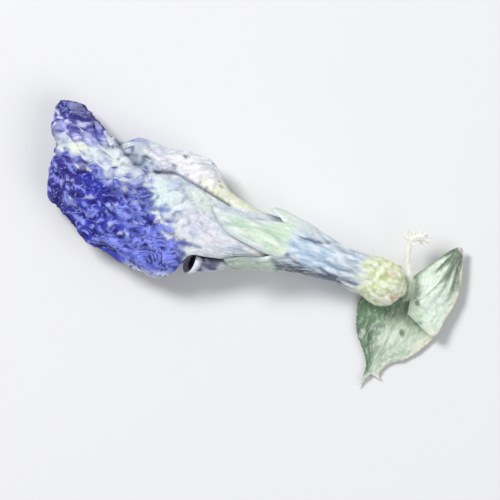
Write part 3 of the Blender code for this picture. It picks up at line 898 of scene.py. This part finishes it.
def calyxPaint(points, turn, margin, core):
    x = points[..., 0]
    wobble = noiseAt(points, (2, 1.2, 1.2), 9)
    wisp = noiseAt(points, (2.2, 0.42, 0.42), 4)
    thread = noiseAt(points, (1.1, 0.34, 0.34), 12)
    dots = noiseAt(warped(points, 0.8, 0.3), calyxForm["wartSize"], 6)
    # painted shade along the tube's lower edge
    tubeEdgeShade = patch(points, (7.4, 0), (4.8, 0.95), 3, 0.4, wobble * 0.6 + thread * 0.8)
    tubeEdgeShade = tubeEdgeShade * (0.6 + 0.4 * fade(np.sin(turn), -0.1, 0.4))
    tube = fade(x, 13.5, 12)
    smoky = fade(x + wobble, 9, 11.4) * fade(wisp + 0.5 * thread, 0.25, -0.2)
    mouth = fade(x + 1.6 * wobble, 5.6, 3.4)
    lower = fade(points[..., 1] + 0.4 * wobble, 0.6, -0.6)
    knob = fade(x + 0.9 * wobble + 0.8 * dots, 12.4, 14.9)
    tint = lay(
        linear("d6e2ee"),
        # the blue tube, with painted shade along its lower edge
        ("c0dbf4", patch(points, (7.2, 2.2), (4, 1.8), -6, 0.5, wobble) * 0.9),
        ("eef3f7", fade(wisp, 0.05, 0.35) * 0.75),
        ("a6bed6", fade(wisp, -0.15, -0.42) * fade(x, 12.5, 10) * 0.5),
        ("1a325c", tubeEdgeShade),
        ("9eacbc", smoky * 0.75),
        ("8ca5be", fade(thread, 0.14, 0.36) * tube * 0.4),
        ("f0f5fa", fade(thread, -0.16, -0.36) * tube * 0.6),
        ("e8f0f4", patch(points, (3.6, 5.2), (3, 0.8), -10, 0.5, wobble * 0.5) * 0.85),
        # the mint lobes, paler toward their margins, with painted shade on the lower, open side
        ("def0d8", mouth),
        ("bee0bc", mouth * fade(wisp + 0.4 * wobble, 0, 0.35) * 0.65),
        ("f2f6f0", mouth * fade(wisp, -0.1, -0.35) * 0.8),
        ("dee6ec", mouth * (1 - core) * 0.85),
        ("eef2f6", mouth * (1 - margin) * 0.5),
        ("889c8e", lower * mouth * (0.75 - 0.35 * margin * core)),
        ("dee7ea", fade(x + 0.8 * wobble, -1.6, -3.6) * 0.75),
        # the yellow green base with its warts
        ("eaf0e2", fade(knob, 0, 0.4) * 0.8),
        ("ecf3d0", knob),
        ("cad49e", knob * fade(dots, 0.02, 0.28) * 0.7),
        ("fafaec", knob * fade(dots, -0.04, -0.3) * 0.8),
        *patchCoats(points, dots, basePatches),
    )
    # painted shade along the dents, and mint streaks
    for path, width, depth, colour, strength in calyxLines:
        near = nearPath(points, path, width) * fade(wisp, 0.45, 0)
        tint = lay(tint, (colour, near * strength * fade(np.sin(turn) + 0.5 * wobble, -0.4, 0.1)))
    return tint, knob, dots


def calyxRings():
    # rings from the rounded base to the mouth, the first ones closing toward the pole at the stalk
    form = calyxForm
    tube = smoothRows([row for row in calyxRows if row[0] >= form["mouth"]], form["tubeRows"])
    first, pole = tube[0], np.array(form["pole"])
    share = np.arange(form["capRows"], 0, -1)[:, None] / (form["capRows"] + 1)
    x = first[0] + (pole[0] + form["poleRise"] - first[0]) * np.sin(math.pi / 2 * share)
    middle = (first[1::2] + first[2::2]) / 2
    middle = middle + (pole[1:] - middle) * share
    half = (first[2::2] - first[1::2]) / 2 * np.cos(math.pi / 2 * share)
    ends = stack(middle - half, middle + half).reshape(-1, 4)
    return np.vstack([np.hstack([x, ends]), tube])


def calyxBody():
    # every point with its turn, how far it is from a margin and from a lobe's tip, and the faces
    form = calyxForm
    columns, halfLobe = form["columns"], 180 / len(calyxLobes)
    around = len(calyxLobes) * columns
    rings = calyxRings()
    count = len(rings) * around
    turns = np.radians(calyxLobes[0][0] - halfLobe + 360 * np.arange(around) / around) + 0 * rings[:, :1]
    parts = [(onOval(rings, turns), turns, 0 * turns + 1, 0 * turns + 1)]
    grid = np.arange(count).reshape(-1, around)
    grid = np.hstack([grid, grid[:, :1]])
    faces = gridFaces(grid)
    share = np.arange(1, form["lobeRows"] + 1)[:, None] / form["lobeRows"]
    across = np.linspace(-1, 1, columns + 1)
    side = 1 - np.abs(across)
    margin = fade(side, 0, 0.3) * fade(1 - share, 0, 0.12)
    core = 1 - (1 - fade(side, 0, 0.8) * fade(1 - share, 0, 0.5)) * fade(share, 0, 0.3)
    for lobe, (middle, length, lean) in enumerate(calyxLobes):
        half = halfLobe * np.maximum(1 - share, 0.015) ** form["lobeTaper"]
        half = half * (1 + form["lobeWave"] * np.sin(9 * share + lobe))
        angles = np.radians(middle + lean * share**2 + half * across)
        spots = onOval(calyxBed(form["mouth"] - length * share[:, 0]), angles)
        parts.append((spots, angles, margin, core))
        edge = grid[-1, lobe * columns : (lobe + 1) * columns + 1]
        rows = count + np.arange(angles.size).reshape(angles.shape)
        faces += gridFaces(np.vstack([edge, rows]))
        count += angles.size
    parts.append((np.array(form["pole"]), np.zeros(1), np.ones(1), np.ones(1)))
    faces += [[count, i, (i + 1) % around] for i in range(around)]
    points, *fields = zip(*parts)
    points = np.vstack([part.reshape(-1, 3) for part in points])
    return points, *(np.hstack([part.ravel() for part in field]) for field in fields), faces


def calyxRelief(points, turns, knob, dots):
    # how far ribs, creases and warts stand out, and which ribs show as veins
    form = calyxForm
    x = points[:, 0]
    drift = 0.25 * noiseAt(stack(x / 4, turns, 0), 1)
    rib = np.cos(form["ribs"] * (turns + drift - math.radians(calyxLobes[0][0])))
    crest = creases(warped(points, 1.8, 0.5), form["creaseSize"], 2)
    push = form["ribHeight"] * rib * fade(x, *form["ribsOver"])
    push += form["crease"] * (np.maximum(crest, -0.5) - 0.2) * (1 - 0.5 * knob)
    push += form["grain"] * noiseAt(points, form["grainSize"], 8) + form["wart"] * dots * knob
    for path, width, depth, colour, strength in calyxLines:
        push -= depth * nearPath(points, path, width) * fade(np.sin(turns), -0.4, 0.1)
    # the dents stay inside the wall
    push = np.where(push < 0, form["deepest"] * np.tanh(push / form["deepest"]), push)
    vein = ramp(rib, 0.75, 1) * fade(x, 14, 11) * (0.4 + 0.6 * (x < form["mouth"]))
    return push, vein, crest


def makeCalyx():
    form = calyxForm
    points, turns, margin, core, faces = calyxBody()
    tint, knob, dots = calyxPaint(points, turns, margin, core)
    push, vein, crest = calyxRelief(points, turns, knob, dots)
    out = calyxOut(points)
    wall = 0.3 + 0.7 * margin
    skin = form["skin"] - form["hug"] * (1 - margin)
    outer = points + out * (skin + push * wall)[:, None]
    inner = points + out * (skin - form["thickness"] * wall)[:, None]
    outer[-1, 0] = outer[: len(calyxLobes) * form["columns"], 0].max() + 0.01
    inner[-1] = form["pole"]
    outer[:, 2] = np.maximum(outer[:, 2], 0.02)
    innerTint = lay(linear("c4d0ba"), ("96ac8c", fade(crest, 0.2, 0.9) * 0.5))
    hairy = (0.25 + 0.75 * knob) * (points[:, 2] > form["hairsAbove"])
    layers = {"tint": tint, "vein": vein, "hairy": hairy, "celled": knob, "flow": warped(points, 2, 0.3)}
    innerLayers = {"tint": innerTint, "hairy": 0}
    return shellPiece("calyxTube", outer, inner, calyxLeaf, layers, innerLayers, faces)


# Bracteoles: toothed leaves, each given by its left margin, midrib and right margin from base to tip
bracteoleForm = {
    "along": 160,
    "half": 40,
    "skin": 0.1,
    "thickness": 0.16,
    "teeth": 22,
    "tooth": 0.13,
    "veins": 11,
    "veinRise": 0.05,
    "ribRise": 0.1,
    "ribWidth": 0.03,
    "crisp": 0.09,
    "crumple": 0.09,
    "crumpleSize": 1.1,
    "grain": 0.05,
    "grainSize": 0.45,
    "sweep": 0.3,
    "streaks": 4,
}
bracteoles = {
    "bracteoleLower": {
        # left: the colour of the left half, here painted shade on the half that slopes away from the light
        "left": "628466",
        "right": "daead6",
        "steps": [
            ((17.7, 1.6, 1.35), (18.5, 1.6, 1.75), (19.3, 1.4, 1.6)),
            ((14.3, 0.2, 0.4), (18.3, -0.4, 1.1), (22.8, -0.6, 0.6)),
            ((14.5, -2.2, 0.5), (18.3, -2.5, 1.5), (22.2, -2.7, 0.5)),
            ((15.3, -3.9, 0.45), (18.2, -4.3, 1.4), (20.9, -4.5, 0.4)),
            ((16.7, -5.5, 0.4), (18, -5.8, 1), (19.5, -5.5, 0.35)),
            ((17.4, -6.9, 0.4), (18, -6.8, 0.7), (18.9, -6.9, 0.35)),
            ((17.3, -9.1, 0.35), (18.1, -7.3, 0.5), (19.3, -7.5, 0.35)),
        ],
    },
    "bracteoleUpper": {
        "left": "e4f3e2",
        "right": "eefdf0",
        "steps": [
            ((18.35, 3.75, 2.7), (19, 2.3, 2.6), (19.4, 0.2, 2.2)),
            ((18.8, 4.6, 2.75), (20.1, 2.2, 2.8), (22.8, -1, 1.9)),
            ((19.4, 5.5, 2.5), (20.9, 3.7, 2.8), (23.4, 1.2, 1.6)),
            ((20.3, 6.8, 2.2), (21.6, 5.4, 2.5), (23.8, 3.8, 1.4)),
            ((21.1, 8, 1.8), (22, 7, 2), (23.4, 6.2, 1.3)),
            ((21.7, 8.7, 1.5), (22.3, 8.1, 1.6), (22.9, 7.8, 1.3)),
            ((22, 9, 1.35), (22.3, 9, 1.4), (22.6, 8.8, 1.35)),
        ],
    },
}
bracteoleSpecks = [
    ("465a4a", strength, middle, size, 30, 0.5, 0.4)
    for middle, size, strength in [
        ((19.6, -1.95), (0.32, 0.42), 0.85),
        ((20, 1.7), (0.28, 0.32), 0.85),
        ((17.4, -2), (0.5, 0.25), 0.4),
        ((20.8, -0.4), (0.5, 0.22), 0.5),
        ((16.3, -3.4), (0.22, 0.7), 0.5),
    ]
]


def bracteoleBlade(leaf):
    # the toothed blade, the share of the way to its tip, and the share across, from -1 to 1
    form = bracteoleForm
    steps = smoothRows(leaf["steps"], form["along"])
    share = np.linspace(0, 1, form["along"])[:, None]
    left, rib, right = steps[:, 0], steps[:, 1], steps[:, 2]
    outward = (right - left) / np.linalg.norm(right - left, axis=1, keepdims=True)
    saw = (share * form["teeth"] + 0.4 * np.sin(share * 17)) % 1
    tooth = form["tooth"] * saw * np.sin(math.pi * share)
    left, right = left - outward * tooth, right + outward * tooth
    t = np.linspace(1, 0, form["half"])[:-1]
    across = np.concatenate([-t, [0], t[::-1]])[None, :]
    far = np.abs(across)[..., None]
    side = np.where(across[..., None] < 0, left[:, None], right[:, None])
    return rib[:, None] * (1 - far) + side * far, share, across


def bracteolePaint(name, leaf, points, share, across, mid):
    wobble = noiseAt(points, (0.9, 1.8, 1), 7)
    flow = noiseAt(stack(across * 5, share * 3, 0), 1, 2)
    if name == "bracteoleLower":
        # darker streaks on the left half, a darker left margin, and painted shade at the base under the knob
        shades = [
            ("4c684c", fade(flow + 0.4 * wobble, -0.1, 0.35) * fade(across, 0, -0.3) * 0.75),
            ("4c6450", fade(across, -0.8, -0.96) * 0.6),
            ("688a62", fade(share + 0.1 * flow, 0.36, 0.08) * 0.75),
        ]
    else:
        # darker toward the tip, a darker left margin, and painted shade at the base by the knob
        shades = [
            ("4e6248", fade(share + 0.26 * flow, 0.45, 0.68) * 0.85),
            ("607058", fade(across, -0.86, -0.98) * 0.75),
            ("b0c6ae", fade(share, 0.22, 0.05) * 0.6),
        ]
    return lay(
        linear(leaf["right"]),
        # the left half's colour, which on the lower leaf is painted shade on the half that slopes away from
        # the light
        (leaf["left"], fade(across + 0.25 * flow, 0.15, -0.55)),
        ("f0f7ee", fade(wobble, 0.02, 0.4) * 0.6),
        ("96b298", fade(flow, 0.1, 0.4) * 0.35),
        *shades,
        ("f0eed8", fade(across + 0.25 * wobble, 0.78, 0.95) * fade(share, 0.05, 0.2) * 0.85),
        ("eef0ea", fade(share, 0.86, 0.95) * 0.8),
        ("dae4d2", mid * 0.5),
        *patchCoats(points, wobble, bracteoleSpecks),
    )


def makeBracteole(name, leaf):
    form = bracteoleForm
    points, share, across = bracteoleBlade(leaf)
    far = np.abs(across)
    # side veins leave the midrib and sweep toward the tip, and the blade sinks between them
    wave = noiseAt(points, 2, 3) * 0.04
    veins = np.abs(((share - form["sweep"] * far**0.8 + wave) * form["veins"]) % 1 - 0.5) * 2
    vein = ramp(veins, 0.80, 1) * (1 - 0.5 * far)
    mid = np.exp(-((across / form["ribWidth"]) ** 2))
    crest = creases(warped(points, 1.2, 0.5), form["crumpleSize"], 2)
    lift = form["veinRise"] * vein + form["ribRise"] * mid
    grit = form["grain"] * noiseAt(points, form["grainSize"], 5)
    lift += form["crumple"] * np.maximum(crest, -0.5) + grit
    lift += form["crisp"] * (np.sin(share * 40) + np.sin(share * 63 + 1)) * 0.5 * fade(far, 0.6, 1)
    tint = bracteolePaint(name, leaf, points, share, across, mid)
    inside = 0.4 + 0.6 * edgeShare(points, 4)
    up = np.array([0, 0, 1])
    outer = points + up * (form["skin"] + lift * inside)[..., None]
    inner = points + up * (form["skin"] + lift * 0.5 - form["thickness"] * inside - 0.02)[..., None]
    inner[..., 2] = np.minimum(inner[..., 2], outer[..., 2] - 0.04)
    sway = 1 + 0.25 * np.sin(7 * share)
    flow = stack(10 * share, form["streaks"] * across * sway, (across > 0) * 5)
    shown = np.clip(vein * 0.6 + 0.2 * mid, 0, 1)
    layers = {"tint": tint, "vein": shown, "hairy": 0.3 + 0.7 * mid, "celled": 0.4, "flow": flow}
    innerLayers = {"tint": lay(tint, ("96a88c", 0.5))}
    flip = np.mean(gridNormals(points)[..., 2]) < 0
    return shellPiece(name, outer, inner, bracteoleLeaf, layers, innerLayers, flip=flip)


# Geometry Nodes: stalks that follow a path, and hairs that stand on a surface
def newTree(name, inputs):
    tree = bpy.data.node_groups.new(name, "GeometryNodeTree")
    for label, kind in {"Geometry": "Geometry", **inputs, "Material": "Material"}.items():
        tree.interface.new_socket(label, in_out="INPUT", socket_type="NodeSocket" + kind)
    tree.interface.new_socket("Geometry", in_out="OUTPUT", socket_type="NodeSocketGeometry")
    return tree, tree.nodes.new("NodeGroupInput").outputs


def endTree(tree, shape, material):
    real = addNode(tree, "GeometryNodeRealizeInstances", Geometry=shape)
    done = addNode(tree, "GeometryNodeSetMaterial", Geometry=real.outputs[0], Material=material)
    addNode(tree, "NodeGroupOutput", Geometry=done.outputs[0])
    return tree


def stalkTree():
    sizes = dict.fromkeys(("Rib depth", "Bump size", "Bump depth"), "Float")
    tree, given = newTree("stalkAlongPath", {"Sides": "Int", "Ribs": "Int", **sizes})
    index = tree.nodes.new("GeometryNodeInputIndex").outputs[0]
    turn = product(tree, calc(tree, "DIVIDE", index, given["Sides"]), math.tau)
    wave = product(tree, calc(tree, "COSINE", product(tree, turn, given["Ribs"])), given["Rib depth"])
    spot = tree.nodes.new("GeometryNodeInputPosition").outputs[0]
    push = addNode(tree, "ShaderNodeVectorMath", operation="SCALE", Vector=spot, Scale=wave)
    circle = addNode(tree, "GeometryNodeCurvePrimitiveCircle", Radius=mm, Resolution=given["Sides"])
    profile = addNode(tree, "GeometryNodeSetPosition", Geometry=circle.outputs[0], Offset=push.outputs[0])
    sweep = addNode(
        tree,
        "GeometryNodeCurveToMesh",
        Curve=given["Geometry"],
        Profile_Curve=profile.outputs[0],
        Scale=tree.nodes.new("GeometryNodeInputRadius").outputs[0],
        Fill_Caps=True,
    )
    bumps = addNode(tree, "ShaderNodeTexNoise", Detail=3, Scale=calc(tree, "DIVIDE", 1, given["Bump size"]))
    height = product(tree, calc(tree, "SUBTRACT", bumps.outputs["Fac"], 0.5), given["Bump depth"])
    normal = tree.nodes.new("GeometryNodeInputNormal").outputs[0]
    rough = addNode(tree, "ShaderNodeVectorMath", operation="SCALE", Vector=normal, Scale=height)
    crumple = addNode(tree, "GeometryNodeSetPosition", Geometry=sweep.outputs[0], Offset=rough.outputs[0])
    smooth = addNode(tree, "GeometryNodeSetShadeSmooth", Geometry=crumple.outputs[0])
    return endTree(tree, smooth.outputs[0], given["Material"])


def hairTree():
    inputs = {"Density": "Float", "Length": "Float", "Thickness": "Float", "Lean": "Vector", "Seed": "Int"}
    tree, given = newTree("hairsOnSurface", inputs)
    seed = given["Seed"]
    spread = {"Mesh": given["Geometry"], "Density": given["Density"], "Seed": seed}
    scatter = addNode(tree, "GeometryNodeDistributePointsOnFaces", **spread)
    form = {"Vertices": 3, "Radius Top": 0, "Radius Bottom": given["Thickness"], "Depth": given["Length"]}
    hair = addNode(tree, "GeometryNodeMeshCone", **form)
    # each hair leans its own way and has its own length
    reach = {"Min": (-0.5, -0.5, -0.5), "Max": (0.5, 0.5, 0.5)}
    stray = addNode(tree, "FunctionNodeRandomValue", data_type="FLOAT_VECTOR", Seed=seed, **reach)
    aim = scatter.outputs["Normal"]
    for more in (given["Lean"], stray.outputs["Value"]):
        aim = calc(tree, "ADD", aim, more, kind="ShaderNodeVectorMath")
    turn = addNode(tree, "FunctionNodeAlignRotationToVector", axis="Z", Vector=aim)
    size = addNode(tree, "FunctionNodeRandomValue", data_type="FLOAT", Seed=seed)
    size.inputs[2].default_value, size.inputs[3].default_value = 0.5, 1.1
    # fewer hairs stand where the surface is less hairy
    where = addNode(tree, "GeometryNodeInputNamedAttribute", data_type="FLOAT", Name="hairy")
    keep = addNode(tree, "FunctionNodeRandomValue", data_type="FLOAT", Seed=calc(tree, "ADD", seed, 1))
    chosen = calc(tree, "LESS_THAN", keep.outputs[1], where.outputs["Attribute"])
    plant = addNode(
        tree,
        "GeometryNodeInstanceOnPoints",
        Points=scatter.outputs["Points"],
        Selection=chosen,
        Instance=hair.outputs["Mesh"],
        Rotation=turn.outputs["Rotation"],
        Scale=size.outputs[1],
    )
    return endTree(tree, plant.outputs[0], given["Material"])


def grow(name, source, tree, values):
    # runs a node tree on the source and keeps the result as a plain mesh
    modifier = source.modifiers.new("Grow", "NODES")
    modifier.node_group = tree
    for item in tree.interface.items_tree:
        if item.in_out == "INPUT" and item.name in values:
            modifier[item.identifier] = values[item.name]
    bpy.context.view_layer.update()
    graph = bpy.context.evaluated_depsgraph_get()
    mesh = bpy.data.meshes.new_from_object(source.evaluated_get(graph), depsgraph=graph)
    source.modifiers.remove(modifier)
    mesh.name = name
    return settle(name, mesh)


def growStalks(name, paths, form, material):
    # a stalk for each path of x, y, z and radius; form: sides, ribs, rib depth, bump size, bump depth
    curve = bpy.data.curves.new(name + "Path", "CURVE")
    curve.dimensions = "3D"
    for path in paths:
        rows = smoothRows(path, 8 * len(path))
        spline = curve.splines.new("POLY")
        spline.points.add(len(rows) - 1)
        for point, (*spot, radius) in zip(spline.points, rows):
            point.co = (*((np.array(spot) - boxMiddle) * mm), 1)
            point.radius = radius
    source = addToScene(name + "Path", curve)
    sides, ribs, ribDepth, bumpSize, bumpDepth = form
    values = {"Sides": sides, "Ribs": ribs, "Rib depth": ribDepth, "Material": material}
    values.update({"Bump size": bumpSize * mm, "Bump depth": bumpDepth * mm})
    piece = grow(name, source, stalkNodes, values)
    bpy.data.objects.remove(source)
    return piece


# Stamens, pistil and stalk: the sheath's middle line, which the free stamen and the pistil follow
columnPath = [
    (16.9, 2.45, 3.75),
    (13.5, 2.3, 3.85),
    (10.5, 2.15, 3.95),
    (8, 2.2, 3.95),
    (5.5, 2.6, 3.8),
    (3, 2.9, 3.5),
    (0, 2.7, 3.4),
    (-1.5, 2.5, 3.4),
]
# reach, droop and spread: how far the filaments' ends run on, sink and part; sheathWall: over, under
columnForm = {
    "along": 90,
    "around": 40,
    "sheathRadius": 0.53,
    "sheathAngles": (40, 320),
    "sheathWall": (0.12, 0.06),
    "ribHeight": 0.03,
    "filaments": 9,
    "filamentRadius": 0.13,
    "reach": (1.6, 2.7, 3.8),
    "droop": 0.3,
    "spread": (0.3, 0.08),
    "antherRadius": 0.24,
    "antherLength": 1,
    "antherSwell": [(-1, 0.5), (-0.7, 0.95), (0, 1), (0.7, 0.9), (1, 0.35)],
    "tube": (12, 2, 0.16, 0.5, 0.05),
}
styleTip = [(-3, 2, 3.4), (-5, 1.45, 3.4), (-6.4, 1.2, 3.52), (-6.65, 1.17, 3.56)]
styleRadii = [0.16, 0.25, 0.25, 0.19, 0.17, 0.16, 0.16, 0.16, 0.17, 0.27, 0.14]
stalks = {
    "freeStamen": {
        "thread": "strawThread",
        "path": [(x, y + 0.62, z, 0.13) for x, y, z in columnPath]
        + [(-3, 2.75, 3.4, 0.12), (-3.5, 2.65, 3.4, 0.22), (-4, 2.5, 3.4, 0.24), (-4.25, 2.43, 3.4, 0.1)],
        "tube": (20, 2, 0.12, 0.7, 0.16),
    },
    "pistilStyle": {
        "thread": "greenThread",
        "path": [(*point, radius) for point, radius in zip(columnPath[:-1] + styleTip, styleRadii)],
        "tube": (20, 2, 0.15, 0.7, 0.16),
    },
    "pedicelStalk": {
        "thread": "stalkThread",
        "path": [
            (18.45, 1.75, 2.35, 0.42),
            (18.7, 2.2, 3, 0.46),
            (18.72, 2.7, 3.65, 0.42),
            (18.6, 3.4, 3.85, 0.37),
            (18.05, 4.2, 3.98, 0.31),
            (17.45, 5.3, 4.2, 0.26),
            (17, 6.5, 4.35, 0.27),
            (16.8, 7.6, 4.5, 0.31),
            (17.2, 8.25, 4.6, 0.38),
            (17.9, 8.5, 4.62, 0.34),
            (18.3, 8.55, 4.6, 0.12),
        ],
        "tube": (20, 5, 0.14, 0.7, 0.16),
    },
}
# fibres that stand out where the stalk tore off: where each leaves it, and where it ends
tornFibres = [
    ((16.8, 7.5, 4.55), (16.1, 7.7, 4.9)),
    ((16.8, 7.75, 4.6), (15.75, 8.3, 4.75)),
    ((16.85, 7.9, 4.6), (16.05, 8.7, 5)),
    ((17, 8, 4.65), (16.5, 9.05, 4.7)),
    ((17.1, 8.1, 4.65), (16.95, 9.05, 5)),
    ((17.35, 8.2, 4.65), (17.5, 9.05, 4.75)),
    ((17.6, 8.3, 4.65), (18.1, 9, 4.9)),
    ((17.9, 8.4, 4.6), (18.75, 8.9, 4.5)),
    ((18, 8.45, 4.6), (18.95, 8.5, 4.85)),
    ((18, 8.4, 4.55), (18.65, 8.1, 4.4)),
    ((17.6, 8.25, 4.5), (18.15, 7.8, 4.3)),
    ((16.9, 7.6, 4.4), (17.4, 7.4, 4.9)),
]
fibreForm = {"foot": 0.2, "middle": 0.14, "tip": 0.05, "bow": 0.18, "tube": (8, 2, 0.2, 0.3, 0.05)}


def makeSheath():
    # the fused part of the filaments, a ribbed gutter that is open along one side
    form = columnForm
    r, around = form["sheathRadius"], form["around"]
    path = smoothRows(columnPath, form["along"])
    x, y, z = path.T
    rows = stack(x, y - r, y + r, z - r, z + r)
    points = onOval(rows, np.radians(np.linspace(*form["sheathAngles"], around))[None, :])
    normals = gridNormals(points)
    ribs = form["ribHeight"] * np.cos(form["filaments"] * math.tau * np.linspace(0, 1, around))
    streak = fade(noiseAt(points, (2, 0.4, 0.4)), 0, 0.4)
    tint = lay(linear("e2d8b2"), ("cebe8e", streak))
    layers = {"tint": tint, "vein": 0, "celled": 0, "flow": points}
    over, under = form["sheathWall"]
    outer, inner = points + normals * (over - ribs)[:, None], points - normals * under
    shellPiece("staminalSheath", outer, inner, calyxLeaf, layers, {})


def makeFilaments():
    form = columnForm
    first, last = form["sheathAngles"]
    half, thin = form["antherLength"] / 2, form["filamentRadius"]
    paths = []
    for index in range(form["filaments"]):
        angle = math.radians(first + (index + 0.5) / form["filaments"] * (last - first))
        out = np.array([0, math.cos(angle), math.sin(angle)])
        reach = form["reach"][index % len(form["reach"])]
        mouth = np.array(columnPath[-1]) + out * form["sheathRadius"]
        start = mouth + np.array([0.6, 0, 0])
        end = mouth + np.array([-reach, -reach * form["droop"], 0]) + out * np.array([0, *form["spread"]])
        along = (end - start) / np.linalg.norm(end - start)
        bend = (start + end) / 2 + out * 0.05
        path = [(*start, thin), (*bend, thin), (*(end - along * half * 1.15), thin * 0.8)]
        for at, size in form["antherSwell"]:
            path.append((*(end + along * half * at), form["antherRadius"] * size))
        paths.append(path)
    growStalks("filamentsAndAnthers", paths, form["tube"], threads["strawThread"])


def makeTornFibres():
    form = fibreForm
    paths = []
    for index, (foot, tip) in enumerate(tornFibres):
        foot, tip = np.array(foot), np.array(tip)
        bow = form["bow"] * math.cos(2.4 * index)
        middle = (foot + tip) / 2 + bow * np.array([tip[1] - foot[1], foot[0] - tip[0], 0.3])
        paths.append([(*foot, form["foot"]), (*middle, form["middle"]), (*tip, form["tip"])])
    growStalks("tornFibres", paths, form["tube"], threads["stalkThread"])


# for each hairy piece, its coat of hairs: the name, density, length, thickness, lean and seed
hairForm = {
    "calyxTube": ("calyxHairs", 20e6, 0.26, 0.016, (0.9, 0, 0), 3),
    "bracteoleLower": ("bracteoleLowerHairs", 16e6, 0.22, 0.014, (0, -0.3, 0), 5),
    "bracteoleUpper": ("bracteoleUpperHairs", 16e6, 0.22, 0.014, (0, 0.3, 0), 7),
    "pedicelStalk": ("pedicelHairs", 40e6, 0.3, 0.016, (0, 0, 0), 9),
}


def makeHairs(source):
    name, density, length, thickness, lean, seed = hairForm[source.name]
    if "hairy" not in source.data.attributes:
        held = source.data.attributes.new("hairy", "FLOAT", "POINT")
        held.data.foreach_set("value", np.ones(len(source.data.vertices), np.float32))
    values = {"Density": density, "Lean": lean, "Seed": seed, "Material": threads["paleDown"]}
    grow(name, source, hairNodes, {**values, "Length": length * mm, "Thickness": thickness * mm})


petal = petalMaterial()
calyxLeaf, bracteoleLeaf = (leafMaterial(name) for name in leafLook)
threads = {name: threadMaterial(name) for name in threadLook}
stalkNodes, hairNodes = stalkTree(), hairTree()

print("stage: petals")
makeBanner()
for name, petalForm in innerPetals.items():
    makeInnerPetal(name, petalForm)
print("stage: calyx and bracteoles")
calyxTube = makeCalyx()
leaves = [makeBracteole(name, leaf) for name, leaf in bracteoles.items()]
print("stage: stamens, pistil and stalk")
makeSheath()
makeFilaments()
for name, stalk in stalks.items():
    stalk["piece"] = growStalks(name, [stalk["path"]], stalk["tube"], threads[stalk["thread"]])
makeTornFibres()
print("stage: hairs")
for piece in (calyxTube, *leaves, stalks["pedicelStalk"]["piece"]):
    makeHairs(piece)


# Plain pale floor, soft light, and a camera that looks straight down as the photo does
stageLook = {
    "viewWidth": 54,
    "viewMiddle": (1.03, 0.47, 3),
    "cameraHeight": 600,
    "floorSize": 3,
    "floorDrop": 0.00002,
    "floorTone": (0.82, 0.82, 0.83, 1),
    "worldTone": (0.95, 0.97, 1, 1),
    "worldPower": 0.31,
    "lampReach": 0.34,
    # each lamp: how far to the photo's right and up it stands, its height, power and size
    "lamps": {"keyLight": (-1, 1, 0.42, 2.2, 0.16), "fillLight": (1, -0.6, 0.35, 0.85, 0.4)},
}


def setStage():
    look, scene = stageLook, bpy.context.scene
    scene.view_settings.view_transform = "Standard"
    bpy.ops.mesh.primitive_plane_add(size=look["floorSize"], location=(0, 0, -look["floorDrop"]))
    floor = bpy.context.object
    floor.name = "studioFloor"
    material, tree, shader = newMaterial("paleFloor", 0.8)
    shader.inputs["Base Color"].default_value = look["floorTone"]
    floor.data.materials.append(material)
    scene.world = bpy.data.worlds.new("softWorld")
    scene.world.use_nodes = True
    background = scene.world.node_tree.nodes["Background"]
    background.inputs["Color"].default_value = look["worldTone"]
    background.inputs["Strength"].default_value = look["worldPower"]
    turned = Matrix.Rotation(photoTurn, 4, "Z")
    target = (Vector(look["viewMiddle"]) - Vector(boxMiddle)) * mm
    for name, (toRight, toUp, height, power, size) in look["lamps"].items():
        lamp = addToScene(name, bpy.data.lights.new(name, "AREA"))
        lamp.data.energy, lamp.data.size = power, size
        way = turned @ Vector((toRight, toUp, 0)).normalized() * look["lampReach"] + Vector((0, 0, height))
        lamp.location = target + way
        lamp.rotation_euler = way.to_track_quat("Z", "Y").to_euler()
    camera = addToScene("photoCamera", bpy.data.cameras.new("photoCamera"))
    camera.data.sensor_fit = "HORIZONTAL"
    camera.data.angle = 2 * math.atan(look["viewWidth"] / 2 / look["cameraHeight"])
    camera.data.clip_start = 0.01
    camera.matrix_world = Matrix.Translation(target + Vector((0, 0, look["cameraHeight"] * mm))) @ turned
    scene.camera = camera
    print("stage: floor, light and camera")


setStage()
